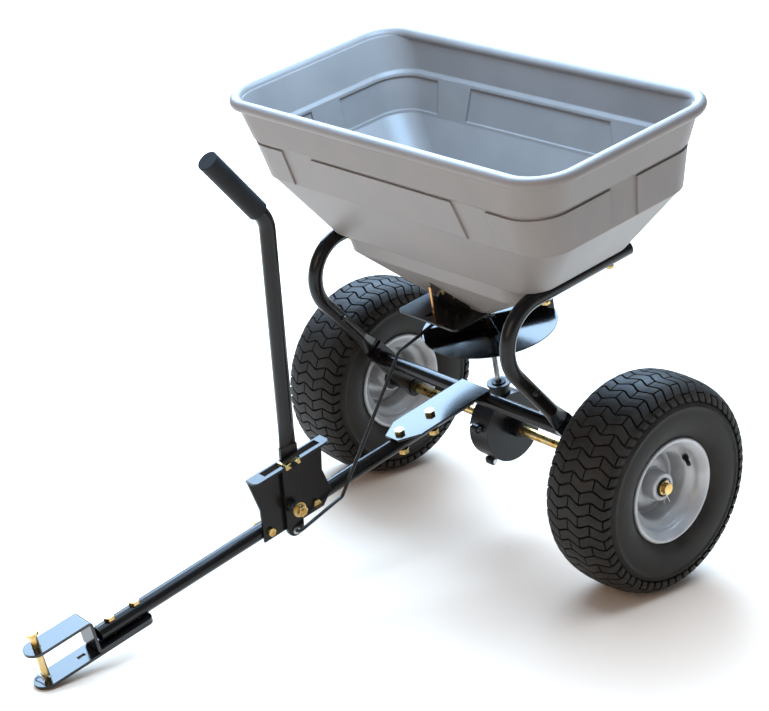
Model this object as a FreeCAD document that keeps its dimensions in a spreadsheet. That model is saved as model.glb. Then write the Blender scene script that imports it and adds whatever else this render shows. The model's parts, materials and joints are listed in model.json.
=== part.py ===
import FreeCAD, Part
import math
import os

import Sketcher
from FreeCAD import Placement, Rotation, Vector

doc = FreeCAD.newDocument("tow_behind_spreader")
sheet = doc.addObject("Spreadsheet::Sheet", "Dims")

# All sizes are millimetres and degrees. The machine frame has its origin on the axle's centre,
# +X towards the hitch, +Y to the machine's left and +Z square to the hopper's rim.
sizes = [
    ("tyre_od", 381), ("tyre_width", 142), ("tread_flat", 40), ("shoulder_drop", 10), ("shoulder_in", 13),
    ("sidewall_radius", 138), ("tyre_wall", 9), ("track", 698), ("bead_gap", 0.4),
    ("bead_seat_radius", 76.2), ("flange_radius", 90.6), ("rim_width", 121.4), ("rim_gauge", 3.2),
    ("well_radius", 61), ("valve_angle", 150), ("hub_radius", 24), ("hub_inner", 36), ("hub_outer", 38), ("hub_bore", 12.5),
    ("axle_radius", 9.5), ("axle_past", 51), ("running_gap", 0.06), ("fit_gap", 0.04),
    ("tube_radius", 13.5), ("tube_wall", 2.0), ("frame_half", 250), ("leg_gauge", 6), ("leg_width", 38),
    ("leg_top", 367), ("leg_bend", 75), ("leg_bend_x", 105), ("leg_rear", 112), ("flat_length", 150),
    ("flat_blend", 40), ("leg_bolt_up", 257), ("cross_up", 106), ("cross_tab", 4), ("tab_half", 38),
    ("tab_bolt", 26), ("bar_drop", 2.55), ("bar_end", 830), ("brace_gauge", 4), ("brace_half", 37),
    ("brace_rear", 8), ("brace_corner", 160), ("brace_tip", 198), ("brace_tip_half", 16),
    ("brace_bolt_a", 106), ("brace_bolt_b", 178), ("strap_gauge", 5), ("strap_half", 22),
    ("pin_reach", 104), ("strap_back", 92), ("web_reach", 18), ("hitch_gap", 56.5),
    ("hitch_bolt_a", 75), ("hitch_bolt_b", 26), ("hitch_slot", 39), ("pin_radius", 6.35),
    ("pin_gap", 0.25), ("pin_below", 10.0), ("pin_above", 24.0), ("pin_head_radius", 10.5),
    ("pin_head", 5), ("clip_up", 8.5), ("clip_wire", 1.0), ("bracket_gauge", 4), ("bracket_front", 508),
    ("bracket_back", 348), ("bracket_top", 112), ("flange_reach", 28), ("slot_front", 482),
    ("slot_back", 364), ("slot_width", 15.5), ("bracket_bolt_a", 389.5), ("bracket_bolt_b", 488.5),
    ("pivot_u", 437), ("pivot_up", 22.5), ("lever_lean", 7.1), ("lever_gauge", 6), ("lever_half", 17),
    ("lever_gap", 1.0), ("lever_below", 54), ("lever_flat", 112), ("lever_blend", 45), ("lever_bend_up", 504),
    ("lever_bend", 45), ("handle_turn", 39.3), ("handle_length", 152), ("grip_length", 128),
    ("grip_radius", 17.2), ("rod_radius", 3), ("rod_down", 44), ("rod_bend", 12), ("rod_out", 11.5),
    ("rod_low_x", 404), ("rod_low_z", 66), ("rod_high_x", 215), ("rod_high_y", 8), ("rod_top_z", 249),
    ("gate_pin_x", 103), ("gate_pin_y", -20), ("gate_pin_top", 318), ("link_gap", 1.0),
    ("rim_z", 630), ("rim_len", 833.3), ("rim_wide", 419.5), ("rim_corner", 79), ("rim_tube", 10.8),
    ("hopper_wall", 4), ("collar_z", 566), ("collar_x", 194.3), ("collar_y", 381), ("collar_corner", 70),
    ("collar_step", 6), ("belt_z", 487), ("belt_x", 172.5), ("belt_y", 366), ("belt_corner", 57),
    ("shelf_x", 127), ("shelf_out", 21), ("shelf_corner", 51), ("neck_x", 124), ("shelf_in", 18),
    ("neck_corner", 45), ("throat_z", 350), ("throat_x", 120), ("throat_in", 6), ("throat_corner", 40),
    ("outlet_z", 268), ("outlet_x", 60), ("outlet_y", 76), ("outlet_corner", 24), ("panel_raise", 3), ("plate_gap", 0.3), ("throat_gauge", 3),
    ("throat_bolt_up", 21), ("throat_bolt_half", 14),
    ("corner_panel", 107), ("end_gap", 30), ("middle_panel", 190), ("panel_draft", 12),
    ("notch_x", 62), ("notch_top", 328), ("notch_left", 95), ("notch_right", 60),
    ("outlet_plate", 4), ("plate_front", 132), ("plate_back", 75), ("plate_left", 66), ("plate_right", 88),
    ("gate_gauge", 2.5), ("gate_gap", 0.3), ("gate_half", 44), ("gate_back", 34), ("gate_front", 42),
    ("gate_travel", 15), ("port_back", 14), ("port_length", 14), ("port_in", 16), ("port_out", 38),
    ("guide_gauge", 3), ("guide_lip", 7), ("guide_back", 62), ("guide_front", 56), ("shaft_radius", 5.5),
    ("shaft_foot", 34), ("shaft_top", 300), ("disc_radius", 122), ("disc_gauge", 2), ("disc_z", 200),
    ("fin_rise", 22), ("fin_turn", -30), ("agitator_z", 287), ("agitator_reach", 32), ("case_radius", 66),
    ("case_wall", 3), ("case_left", 24), ("case_right", 23), ("boss_radius", 16), ("boss_reach", 44),
    ("neck_radius", 19), ("neck_top", 82), ("cap_gauge", 4), ("cap_radius", 22), ("lug_radius", 8),
    ("crown_teeth", 36), ("pinion_teeth", 9), ("tooth_module", 3), ("mesh_outer", 54), ("mesh_inner", 38),
    ("tooth_rise", 2.4), ("tooth_depth", 3.2), ("tooth_thick", 3.8), ("crown_back", 20),
    ("bolt_big", 10), ("bolt_mid", 8), ("bolt_small", 6), ("screw", 5), ("washer_gauge", 1.6),
    ("stop_gauge", 2), ("stop_lug", 4), ("stop_gap", 2.5), ("stop_reach", 30),
]


def fill_sheet():
    for row, (alias, value) in enumerate(sizes, start=1):
        sheet.set("A%d" % row, alias)
        sheet.set("B%d" % row, str(value))
        sheet.setAlias("B%d" % row, alias)
    doc.recompute()


def val(alias):
    return float(sheet.get(alias))


fill_sheet()


# Stations along the hitch, counted from the tow bar's open end, as expressions for the sketches.

pin_at = "Dims.bar_end + Dims.pin_reach"
web_at = "Dims.bar_end + Dims.web_reach"
slot_at = "Dims.bar_end + Dims.hitch_slot"
strap_rear = "Dims.bar_end - Dims.strap_back"
bolt_at_a = "Dims.bar_end - Dims.hitch_bolt_a"
bolt_at_b = "Dims.bar_end - Dims.hitch_bolt_b"


# Where the level machine stands: pitched forward until the hitch pin's foot meets the floor.

def leg_angle():
    """Rise of the legs' straight part from the horizontal, in radians."""
    reach = math.hypot(val("leg_bend_x"), val("leg_top") - val("leg_bend"))
    rise = math.atan2(val("leg_top") - val("leg_bend"), val("leg_bend_x"))
    return rise - math.asin(val("leg_bend") / reach)


def cross_at():
    angle = leg_angle()
    return Vector(val("cross_up") * math.cos(angle), 0, val("cross_up") * math.sin(angle))


def bar_place():
    """The tow bar's frame: origin in the cross tube, +X along the bar, +Z square to it."""
    return Placement(cross_at(), Rotation(Vector(0, 1, 0), val("bar_drop")))


def strap_low():
    return -val("tube_radius") - val("strap_gauge")


def pin_u():
    return val("bar_end") + val("pin_reach")


def pin_foot():
    return strap_low() - val("pin_below")


def floor_pitch():
    foot = bar_place().multVec(Vector(pin_u() + val("pin_radius"), 0, pin_foot()))
    reach = math.hypot(foot.x, foot.z)
    return math.degrees(math.atan2(foot.z, foot.x) + math.asin(val("tyre_od") / 2 / reach))


def machine_place():
    pitch = Rotation(Vector(0, 1, 0), floor_pitch())
    tip = Vector(pin_u() + val("strap_half"), 0, strap_low() + val("hitch_gap") + val("strap_gauge"))
    front = pitch.multVec(bar_place().multVec(tip)).x
    return Placement(Vector((val("tyre_od") / 2 - front) / 2, 0, val("tyre_od") / 2), pitch)


machine = machine_place()
bar = machine.multiply(bar_place())
pieces = []


def settle(thing, label, place):
    thing.Label = label
    thing.Placement = place
    pieces.append(thing)
    return thing


def feature(label, shape, place=machine):
    thing = doc.addObject("Part::Feature", label)
    thing.Shape = shape
    return settle(thing, label, place)


# Sketch helpers: every corner and centre is held by distances bound to the sheet.

def start_body(label):
    return doc.addObject("PartDesign::Body", label + "_body")


def start_sketch(body, name, role, offset="0"):
    sketch = body.newObject("Sketcher::SketchObject", name)
    plane = [face for face in body.Origin.OriginFeatures if face.Role == role][0]
    sketch.AttachmentSupport = [(plane, "")]
    sketch.MapMode = "FlatFace"
    sketch.setExpression("AttachmentOffset.Base.z", offset)
    return sketch


def hold(sketch, geo, point, across, up):
    for kind, text in (("DistanceX", across), ("DistanceY", up)):
        index = sketch.addConstraint(Sketcher.Constraint(kind, -1, 1, geo, point, 1.0))
        sketch.setExpression("Constraints[%d]" % index, text)


def outline(sketch, corners):
    first = sketch.GeometryCount
    count = len(corners)
    ring = []
    for i in range(count):
        angle = 2 * math.pi * i / count
        ring.append(Vector(20 * math.cos(angle), 20 * math.sin(angle), 0))
    for i in range(count):
        sketch.addGeometry(Part.LineSegment(ring[i], ring[(i + 1) % count]))
    for i in range(count):
        sketch.addConstraint(Sketcher.Constraint("Coincident", first + i, 2, first + (i + 1) % count, 1))
    for i, (across, up) in enumerate(corners):
        hold(sketch, first + i, 1, across, up)


def circle(sketch, across, up, radius):
    geo = sketch.addGeometry(Part.Circle(Vector(1, 1, 0), Vector(0, 0, 1), 2))
    index = sketch.addConstraint(Sketcher.Constraint("Radius", geo, 2))
    sketch.setExpression("Constraints[%d]" % index, radius)
    hold(sketch, geo, 3, across, up)


def oblong(sketch, low, high, left, right):
    outline(sketch, [(low, left), (high, left), (high, right), (low, right)])


def pad(body, sketch, name, length, reverse=False, middle=False):
    made = body.newObject("PartDesign::Pad", name)
    made.Profile = sketch
    made.Reversed = reverse
    made.Midplane = middle
    made.setExpression("Length", length)
    return made


def pocket(body, sketch, name):
    doc.recompute()
    before = body.Shape.Volume
    made = body.newObject("PartDesign::Pocket", name)
    made.Profile = sketch
    made.Midplane = True
    made.Length = 4000
    doc.recompute()
    if body.Shape.Volume > before - 1:
        raise RuntimeError(name + " cuts nothing")
    return made


def round_corners(body, name, spots, radius, tall):
    """Fillets the edges that stand along axis `tall` at the given spots of the other two axes."""
    doc.recompute()
    names = []
    keep = [i for i in range(3) if i != tall]
    for index, edge in enumerate(body.Tip.Shape.Edges, start=1):
        ends = [vertex.Point for vertex in edge.Vertexes]
        if len(ends) != 2 or (ends[0] - ends[1]).Length < 0.5:
            continue
        if max(abs(ends[0][i] - ends[1][i]) for i in keep) > 0.01:
            continue
        for spot in spots:
            if max(abs(ends[0][i] - spot[k]) for k, i in enumerate(keep)) < 0.05:
                names.append("Edge%d" % index)
                break
    if not names:
        raise RuntimeError(name + " found no edge")
    base = body.Tip
    made = body.newObject("PartDesign::Fillet", name)
    made.Base = (base, names)
    made.setExpression("Radius", radius)
    doc.recompute()
    return made


def revolve(body, sketch, name):
    made = body.newObject("PartDesign::Revolution", name)
    made.Profile = sketch
    made.ReferenceAxis = (sketch, ["V_Axis"])
    made.Angle = 360
    return made


# Solid helpers for bent wires, tubes and fasteners.

axis_x = Vector(1, 0, 0)
axis_y = Vector(0, 1, 0)
axis_z = Vector(0, 0, 1)


def rod(radius, start, end):
    run = end - start
    return Part.makeCylinder(radius, run.Length, start, run)


def ring(inner, outer, start, end):
    return rod(outer, start, end).cut(rod(inner, start - (end - start) * 0.1, end + (end - start) * 0.1))


def slab(low, high):
    return Part.makeBox(high.x - low.x, high.y - low.y, high.z - low.z, low)


def rounded_path(points, radius):
    """Straight runs through the points with each inner corner turned by an arc."""
    edges = []
    last = points[0]
    for i in range(1, len(points) - 1):
        here = points[i]
        back = (points[i - 1] - here).normalize()
        ahead = (points[i + 1] - here).normalize()
        half = math.acos(max(-1.0, min(1.0, back.dot(ahead)))) / 2
        turn = radius[i - 1] if isinstance(radius, list) else radius
        cut = turn / math.tan(half)
        enter = here + back * cut
        leave = here + ahead * cut
        middle = here + (back + ahead).normalize() * (turn / math.sin(half) - turn)
        if (enter - last).Length > 0.001:
            edges.append(Part.makeLine(last, enter))
        edges.append(Part.Arc(enter, middle, leave).toShape())
        last = leave
    edges.append(Part.makeLine(last, points[-1]))
    return Part.Wire(edges)


def sweep(points, bend, radius):
    path = rounded_path(points, bend)
    ahead = points[1] - points[0]
    section = Part.Wire([Part.makeCircle(radius, points[0], ahead)])
    return path.makePipeShell([section], True, False)


def hexagon(flats, height, base, up):
    """A hexagonal prism, its flats `flats` apart, standing on base along up."""
    turn = Rotation(axis_z, up)
    corners = []
    for i in range(7):
        angle = math.radians(60 * i)
        reach = flats / 2 / math.cos(math.radians(30))
        corners.append(base + turn.multVec(Vector(reach * math.cos(angle), reach * math.sin(angle), 0)))
    return Part.Face(Part.makePolygon(corners)).extrude(up.normalize() * height)


def bolt_with_nut(diameter, seat, way, grip):
    """Bolt head on seat, shank along way, and a nut with washer after the grip."""
    way = Vector(way).normalize()
    flats = 1.6 * diameter + 0.7
    head = hexagon(flats, 0.65 * diameter, seat, way * -1)
    washer = val("washer_gauge")
    nut_seat = seat + way * (grip + washer)
    nut_height = 0.8 * diameter
    shank = rod(diameter / 2, seat - way * 0.5, nut_seat + way * (nut_height + 0.25 * diameter))
    bore = rod(diameter / 2 + val("fit_gap"), seat + way * (grip - 1), nut_seat + way * (2 * diameter))
    plate = rod(flats * 0.62, seat + way * grip, nut_seat).cut(bore)
    nut = hexagon(flats, nut_height, nut_seat, way).cut(bore)
    return [head.fuse(shank).removeSplitter(), plate, nut]


def rounded_ring(half_x, half_y, corner, z):
    """Closed wire of a rectangle with round corners, centred on the machine's Z axis."""
    edges = []
    spots = [(1, 1, 0), (-1, 1, 90), (-1, -1, 180), (1, -1, 270)]
    last = None
    first = None
    for sx, sy, start in spots:
        centre = Vector(sx * (half_x - corner), sy * (half_y - corner), z)
        marks = []
        for step in (0, 45, 90):
            angle = math.radians(start + step)
            marks.append(centre + Vector(corner * math.cos(angle), corner * math.sin(angle), 0))
        if last is not None:
            edges.append(Part.makeLine(last, marks[0]))
        else:
            first = marks[0]
        edges.append(Part.Arc(marks[0], marks[1], marks[2]).toShape())
        last = marks[2]
    edges.append(Part.makeLine(last, first))
    return Part.Wire(edges)


def funnel(levels, inset=0.0):
    """Solid through stacked rounded rectangles, each level (z, half x, half y, corner)."""
    rings = []
    for z, half_x, half_y, corner in levels:
        rings.append(rounded_ring(half_x - inset, half_y - inset, corner - inset, z))
    return Part.makeLoft(rings, True, True)


# Hopper.

def hopper_levels():
    top_x = val("rim_wide") / 2 - val("rim_tube")
    top_y = val("rim_len") / 2 - val("rim_tube")
    step = val("collar_step")
    bowl = [
        (val("leg_top") + val("tube_radius"), val("shelf_x"), val("frame_half") + val("shelf_out"), val("shelf_corner")),
        (val("belt_z"), val("belt_x"), val("belt_y"), val("belt_corner")),
        (val("collar_z") - step, val("collar_x") - step, val("collar_y") - step, val("collar_corner") - step),
        (val("collar_z"), val("collar_x"), val("collar_y"), val("collar_corner")),
        (val("rim_z"), top_x, top_y, val("rim_corner") - val("rim_tube")),
    ]
    throat = [
        (val("outlet_z"), val("outlet_x"), val("outlet_y"), val("outlet_corner")),
        (val("throat_z"), val("throat_x"), val("frame_half") - val("shelf_in") - val("throat_in"), val("throat_corner")),
        (bowl[0][0], val("neck_x"), val("frame_half") - val("shelf_in"), val("neck_corner")),
    ]
    return bowl, throat


def notch(grow):
    """Wedge let into the front of the throat for the gate's upright pin."""
    low = val("outlet_z") - 20
    peak = Vector(val("notch_x") - grow, val("gate_pin_y"), val("notch_top") + 2.2 * grow)
    left = Vector(peak.x, val("gate_pin_y") + val("notch_left") + 1.2 * grow, low)
    right = Vector(peak.x, val("gate_pin_y") - val("notch_right") - 1.2 * grow, low)
    face = Part.Face(Part.makePolygon([peak, left, right, peak]))
    return face.extrude(Vector(120, 0, 0))


def hopper_panels(inset):
    """Raised panels round the corners and along the middle of the long walls."""
    lift = val("panel_raise")
    step = val("collar_step")
    low = val("belt_z") + 2 + inset
    high = val("collar_z") - step - 2 - inset
    skin = funnel([
        (val("belt_z"), val("belt_x"), val("belt_y"), val("belt_corner")),
        (val("collar_z") - step, val("collar_x") - step, val("collar_y") - step, val("collar_corner") - step),
    ], inset - lift)
    band = slab(Vector(-600, -600, low), Vector(600, 600, high))
    side = val("belt_y") - val("corner_panel") + inset
    end = val("end_gap") + inset
    corners = skin.common(band).cut(slab(Vector(-600, -side, 0), Vector(600, side, 900)))
    corners = corners.cut(slab(Vector(-end, -600, 0), Vector(end, 600, 900)))
    wide = val("middle_panel") - inset
    narrow = wide - val("panel_draft")
    middle = Part.Face(Part.makePolygon([
        Vector(-600, -wide, low), Vector(-600, wide, low), Vector(-600, narrow, high),
        Vector(-600, -narrow, high), Vector(-600, -wide, low)])).extrude(Vector(1200, 0, 0))
    return [corners, skin.common(middle)]


def make_hopper():
    wall = val("hopper_wall")
    bowl, throat = hopper_levels()
    outer = funnel(bowl).fuse(funnel(throat))
    for panel in hopper_panels(0):
        outer = outer.fuse(panel)
    outer = outer.cut(notch(0))
    shelf_z = bowl[0][0]
    bowl_in = [(shelf_z + wall,) + bowl[0][1:]] + bowl[1:-1] + [(val("rim_z") + 40,) + bowl[-1][1:]]
    throat_in = [(throat[0][0] + wall,) + throat[0][1:], throat[1], (shelf_z + wall + 1,) + throat[2][1:]]
    inner = funnel(bowl_in, wall).fuse(funnel(throat_in, wall))
    for panel in hopper_panels(wall):
        inner = inner.fuse(panel)
    inner = inner.cut(notch(wall))
    shell = outer.cut(inner)
    top = bowl[-1]
    start = Vector(top[1], 0, top[0])
    circle_wire = Part.Wire([Part.makeCircle(val("rim_tube"), start, axis_y)])
    path = rounded_ring(top[1], top[2], top[3], top[0])
    rim = path.makePipeShell([circle_wire], True, False)
    shell = shell.fuse(rim)
    cuts = [rod(val("shaft_radius") + 3.0, Vector(0, 0, 250), Vector(0, 0, 290))]
    for port in port_boxes(1.0):
        cuts.append(port)
    for spot in outlet_bolts():
        cuts.append(rod(val("bolt_small") / 2 + 0.3, spot - axis_z * 20, spot + axis_z * 20))
    for spot in hopper_bolt_spots():
        cuts.append(rod(val("bolt_mid") / 2 + 0.3, spot, spot + axis_z * 80))
    for seat in throat_bolt_seats():
        cuts.append(throat_drill(seat))
    feature("hopper", shell.cut(Part.makeCompound(cuts)).removeSplitter())


def port_boxes(grow):
    boxes = []
    for side in (-1, 1):
        near = side * (val("port_in") - grow)
        far = side * (val("port_out") + grow)
        low = Vector(val("port_back") - grow, min(near, far), val("outlet_z") - 30)
        high = Vector(val("port_back") + val("port_length") + grow, max(near, far), val("outlet_z") + 8)
        boxes.append(slab(low, high))
    return boxes


def outlet_bolts():
    spots = []
    for x in (-40, 40):
        for y in (-57, 57):
            spots.append(Vector(x, y, val("outlet_z")))
    return spots


def hopper_bolt_spots():
    spots = []
    for x in (-69, 83):
        for side in (-1, 1):
            spots.append(Vector(x, side * val("frame_half"), val("leg_top") - val("tube_radius")))
    return spots


def make_hopper_bolts():
    solids = []
    for spot in hopper_bolt_spots():
        solids += bolt_with_nut(val("bolt_mid"), spot, axis_z, 2 * val("tube_radius") + val("hopper_wall"))
    feature("hopper_bolts", Part.makeCompound(solids))


# Outlet, gate and the pieces that guide it.

def make_outlet_plate():
    body = start_body("outlet_plate")
    sketch = start_sketch(body, "outlet_outline", "XY_Plane", "Dims.outlet_z - Dims.outlet_plate")
    oblong(sketch, "-Dims.plate_back", "Dims.plate_front", "-Dims.plate_right", "Dims.plate_left")
    pad(body, sketch, "outlet_pad", "Dims.outlet_plate")
    holes = start_sketch(body, "outlet_holes", "XY_Plane", "Dims.outlet_z")
    circle(holes, "0", "0", "Dims.shaft_radius + 2.5 + Dims.fit_gap")
    for side in ("", "-"):
        oblong(holes, "Dims.port_back", "Dims.port_back + Dims.port_length",
               side + "Dims.port_in", side + "Dims.port_out")
    oblong(holes, "Dims.gate_pin_x - Dims.rod_radius - 1.5",
           "Dims.gate_pin_x + Dims.gate_travel + Dims.rod_radius + 2",
           "Dims.gate_pin_y - Dims.rod_radius - 1.5", "Dims.gate_pin_y + Dims.rod_radius + 1.5")
    for across in ("-40", "40"):
        for up in ("-57", "57"):
            circle(holes, across, up, "Dims.bolt_small / 2 + 0.3")
    pocket(body, holes, "outlet_cut")
    spots = []
    for x in (-val("plate_back"), val("plate_front")):
        for y in (-val("plate_right"), val("plate_left")):
            spots.append((x, y))
    round_corners(body, "outlet_round", spots, "12", 2)
    settle(body, "outlet_plate", machine)
    solids = []
    for spot in outlet_bolts():
        seat = spot - axis_z * val("outlet_plate")
        solids += bolt_with_nut(val("bolt_small"), seat, axis_z, val("outlet_plate") + val("hopper_wall"))
    feature("outlet_bolts", Part.makeCompound(solids))


def throat_bolt_seats():
    """Where the two bolt heads sit on the throat plate's front face."""
    front = val("notch_x") + val("plate_gap") + val("throat_gauge")
    height = val("outlet_z") + val("throat_bolt_up")
    seats = []
    for side in (-1, 1):
        seats.append(Vector(front, val("gate_pin_y") + 2 + side * val("throat_bolt_half"), height))
    return seats


def make_throat_plate():
    gap = val("plate_gap")
    low = val("outlet_z") + gap
    back = val("notch_x") + gap
    y = val("gate_pin_y")
    top = val("notch_top") - 14
    share = (top - low) / (val("notch_top") - val("outlet_z") + 20)
    left = y + val("notch_left") * share
    right = y - val("notch_right") * share
    face = Part.Face(Part.makePolygon([
        Vector(back, y - 4, top), Vector(back, y + 4, top), Vector(back, left, low),
        Vector(back, right, low), Vector(back, y - 4, top)]))
    plate = face.extrude(Vector(val("throat_gauge"), 0, 0))
    solids = []
    for seat in throat_bolt_seats():
        grip = val("throat_gauge") + gap + val("hopper_wall")
        plate = plate.cut(throat_drill(seat))
        solids += bolt_with_nut(val("screw"), seat, Vector(-1, 0, 0), grip)
    feature("throat_plate", plate)
    feature("throat_bolts", Part.makeCompound(solids))


def throat_drill(seat):
    return rod(val("screw") / 2 + 0.2, seat + axis_x * 2, seat - axis_x * 20)


def gate_top():
    return val("outlet_z") - val("outlet_plate") - val("gate_gap")


def make_gate():
    body = start_body("gate")
    sketch = start_sketch(body, "gate_outline", "XY_Plane",
                          "Dims.outlet_z - Dims.outlet_plate - Dims.gate_gap - Dims.gate_gauge")
    outline(sketch, [
        ("-Dims.gate_back", "-Dims.gate_half"), ("Dims.gate_front", "-Dims.gate_half"),
        ("Dims.gate_front", "Dims.gate_pin_y - 11"), ("Dims.gate_pin_x + 13", "Dims.gate_pin_y - 11"),
        ("Dims.gate_pin_x + 13", "Dims.gate_pin_y + 11"), ("Dims.gate_front", "Dims.gate_pin_y + 11"),
        ("Dims.gate_front", "Dims.gate_half"), ("-Dims.gate_back", "Dims.gate_half")])
    pad(body, sketch, "gate_pad", "Dims.gate_gauge")
    holes = start_sketch(body, "gate_holes", "XY_Plane", "Dims.outlet_z")
    circle(holes, "Dims.gate_pin_x", "Dims.gate_pin_y", "Dims.rod_radius + Dims.link_gap")
    oblong(holes, "-Dims.gate_travel - Dims.shaft_radius - 4", "Dims.shaft_radius + 4",
           "-Dims.shaft_radius - 4", "Dims.shaft_radius + 4")
    for side in ("", "-"):
        oblong(holes, "Dims.port_back - Dims.gate_travel", "Dims.port_back + Dims.port_length - Dims.gate_travel",
               side + "Dims.port_in", side + "Dims.port_out")
    pocket(body, holes, "gate_cut")
    settle(body, "gate", machine)


def make_gate_guides():
    rails = []
    high = val("outlet_z") - val("outlet_plate")
    low = gate_top() - val("gate_gauge") - val("gate_gap") - val("guide_gauge")
    near = val("gate_half") + 0.4
    far = near + val("guide_gauge")
    lip = val("gate_half") - val("guide_lip")
    for side in (-1, 1):
        web = slab(Vector(-val("guide_back"), min(side * near, side * far), low),
                   Vector(val("guide_front"), max(side * near, side * far), high))
        foot = slab(Vector(-val("guide_back"), min(side * lip, side * far), low),
                    Vector(val("guide_front"), max(side * lip, side * far), low + val("guide_gauge")))
        rails.append(web.fuse(foot).removeSplitter())
    feature("gate_guides", Part.makeCompound(rails))


# Impeller shaft and what turns with it.

def make_shaft():
    shaft = doc.addObject("Part::Cylinder", "shaft_bar")
    shaft.setExpression("Radius", "Dims.shaft_radius")
    shaft.setExpression("Height", "Dims.shaft_top - Dims.shaft_foot")
    shaft.setExpression("Placement.Base.z", "Dims.shaft_foot")
    drills = []
    for name, radius, height in (("agitator_drill", "3 + Dims.fit_gap", "Dims.agitator_z"),
                                 ("roll_drill", "2 + Dims.fit_gap", "Dims.disc_z + Dims.fin_rise / 2 + 4")):
        drill = doc.addObject("Part::Cylinder", name)
        turn = Rotation(axis_z, val("fin_turn"))
        drill.Placement = Placement(turn.multVec(Vector(-20, 0, 0)), turn.multiply(Rotation(axis_z, axis_x)))
        drill.setExpression("Radius", radius)
        drill.Height = 40
        drill.setExpression("Placement.Base.z", height)
        drills.append(drill)
    both = doc.addObject("Part::MultiFuse", "shaft_drills")
    both.Shapes = drills
    made = doc.addObject("Part::Cut", "shaft_cut")
    made.Base = shaft
    made.Tool = both
    doc.recompute()
    settle(made, "impeller_shaft", machine)
    z = val("disc_z") + val("fin_rise") / 2 + 4
    turn = Placement(Vector(0, 0, 0), Rotation(axis_z, val("fin_turn")))
    spin = machine.multiply(turn)
    feature("roll_pin", rod(2, Vector(-12.5, 0, z), Vector(12.5, 0, z)), spin)
    lift = val("agitator_z")
    reach = val("agitator_reach")
    feature("agitator", sweep([
        Vector(-reach, 0, lift + 16), Vector(-12, 0, lift), Vector(12, 0, lift),
        Vector(reach, 0, lift + 16)], 8, 3), spin)


def make_impeller():
    body = start_body("impeller")
    disc = start_sketch(body, "disc_outline", "XY_Plane", "Dims.disc_z")
    circle(disc, "0", "0", "Dims.disc_radius")
    pad(body, disc, "disc_pad", "Dims.disc_gauge")
    hub = start_sketch(body, "hub_outline", "XY_Plane", "Dims.disc_z")
    circle(hub, "0", "0", "12")
    pad(body, hub, "hub_pad", "Dims.fin_rise")
    fin = start_sketch(body, "fin_outline", "XY_Plane", "Dims.disc_z")
    outline(fin, [("11", "-1"), ("Dims.disc_radius - 14", "-1"), ("Dims.disc_radius - 1", "5"),
                  ("Dims.disc_radius - 1", "7"), ("Dims.disc_radius - 15", "1"), ("11", "1")])
    blade = pad(body, fin, "fin_pad", "Dims.fin_rise")
    doc.recompute()
    fins = body.newObject("PartDesign::PolarPattern", "fin_ring")
    fins.Originals = [blade]
    fins.Axis = (disc, ["N_Axis"])
    fins.Angle = 360
    fins.Occurrences = 4
    body.Tip = fins
    bore = start_sketch(body, "impeller_bore", "XY_Plane", "Dims.disc_z")
    circle(bore, "0", "0", "Dims.shaft_radius + Dims.fit_gap")
    pocket(body, bore, "impeller_bore_cut")
    pin = start_sketch(body, "impeller_pin", "YZ_Plane", "0")
    circle(pin, "0", "Dims.disc_z + Dims.fin_rise / 2 + 4", "2 + Dims.fit_gap")
    cross = body.newObject("PartDesign::Pocket", "impeller_pin_cut")
    cross.Profile = pin
    cross.Midplane = True
    cross.Length = 25.4
    doc.recompute()
    turn = Placement(Vector(0, 0, 0), Rotation(axis_z, val("fin_turn")))
    settle(body, "impeller", machine.multiply(turn))


def make_shaft_bushes():
    bore = val("shaft_radius") + val("running_gap")
    low_top = val("neck_top") + val("cap_gauge")
    low = ring(bore, 9, Vector(0, 0, low_top - 24), Vector(0, 0, low_top))
    low = low.fuse(ring(bore, 13, Vector(0, 0, low_top), Vector(0, 0, low_top + 2)))
    base = val("outlet_z") - val("outlet_plate")
    high = ring(bore, val("shaft_radius") + 2.5, Vector(0, 0, base - 4), Vector(0, 0, val("outlet_z") + 4))
    high = high.fuse(ring(bore, 12, Vector(0, 0, val("outlet_z") + 4), Vector(0, 0, val("outlet_z") + 6)))
    feature("shaft_bushes", Part.makeCompound([low.removeSplitter(), high.removeSplitter()]))


# Bevel gears: the cone apex of both is the axle's centre.

def gear_tooth(plane, root, tip, flank):
    """Tapered tooth along +Z, thinning towards the apex. plane is its outer height."""
    ends = []
    for scale in (1.0, val("mesh_inner") / val("mesh_outer")):
        half_tip = flank / 2 - abs(tip - plane[1]) * 0.36
        half_root = flank / 2 + abs(root - plane[1]) * 0.36
        points = [Vector(-half_root, root, plane[0]), Vector(-half_tip, tip, plane[0]),
                  Vector(half_tip, tip, plane[0]), Vector(half_root, root, plane[0])]
        points = [point * scale for point in points]
        ends.append(Part.makePolygon(points + [points[0]]))
    return Part.makeLoft(ends, True, True)


def turned(profile, axis):
    """Solid of revolution from (radius, along) corners about the axis."""
    corners = []
    for radius, along in profile:
        corners.append(Vector(radius, along, 0) if axis == "y" else Vector(radius, 0, along))
    face = Part.Face(Part.makePolygon(corners + [corners[0]]))
    return face.revolve(Vector(0, 0, 0), axis_y if axis == "y" else axis_z, 360)


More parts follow.
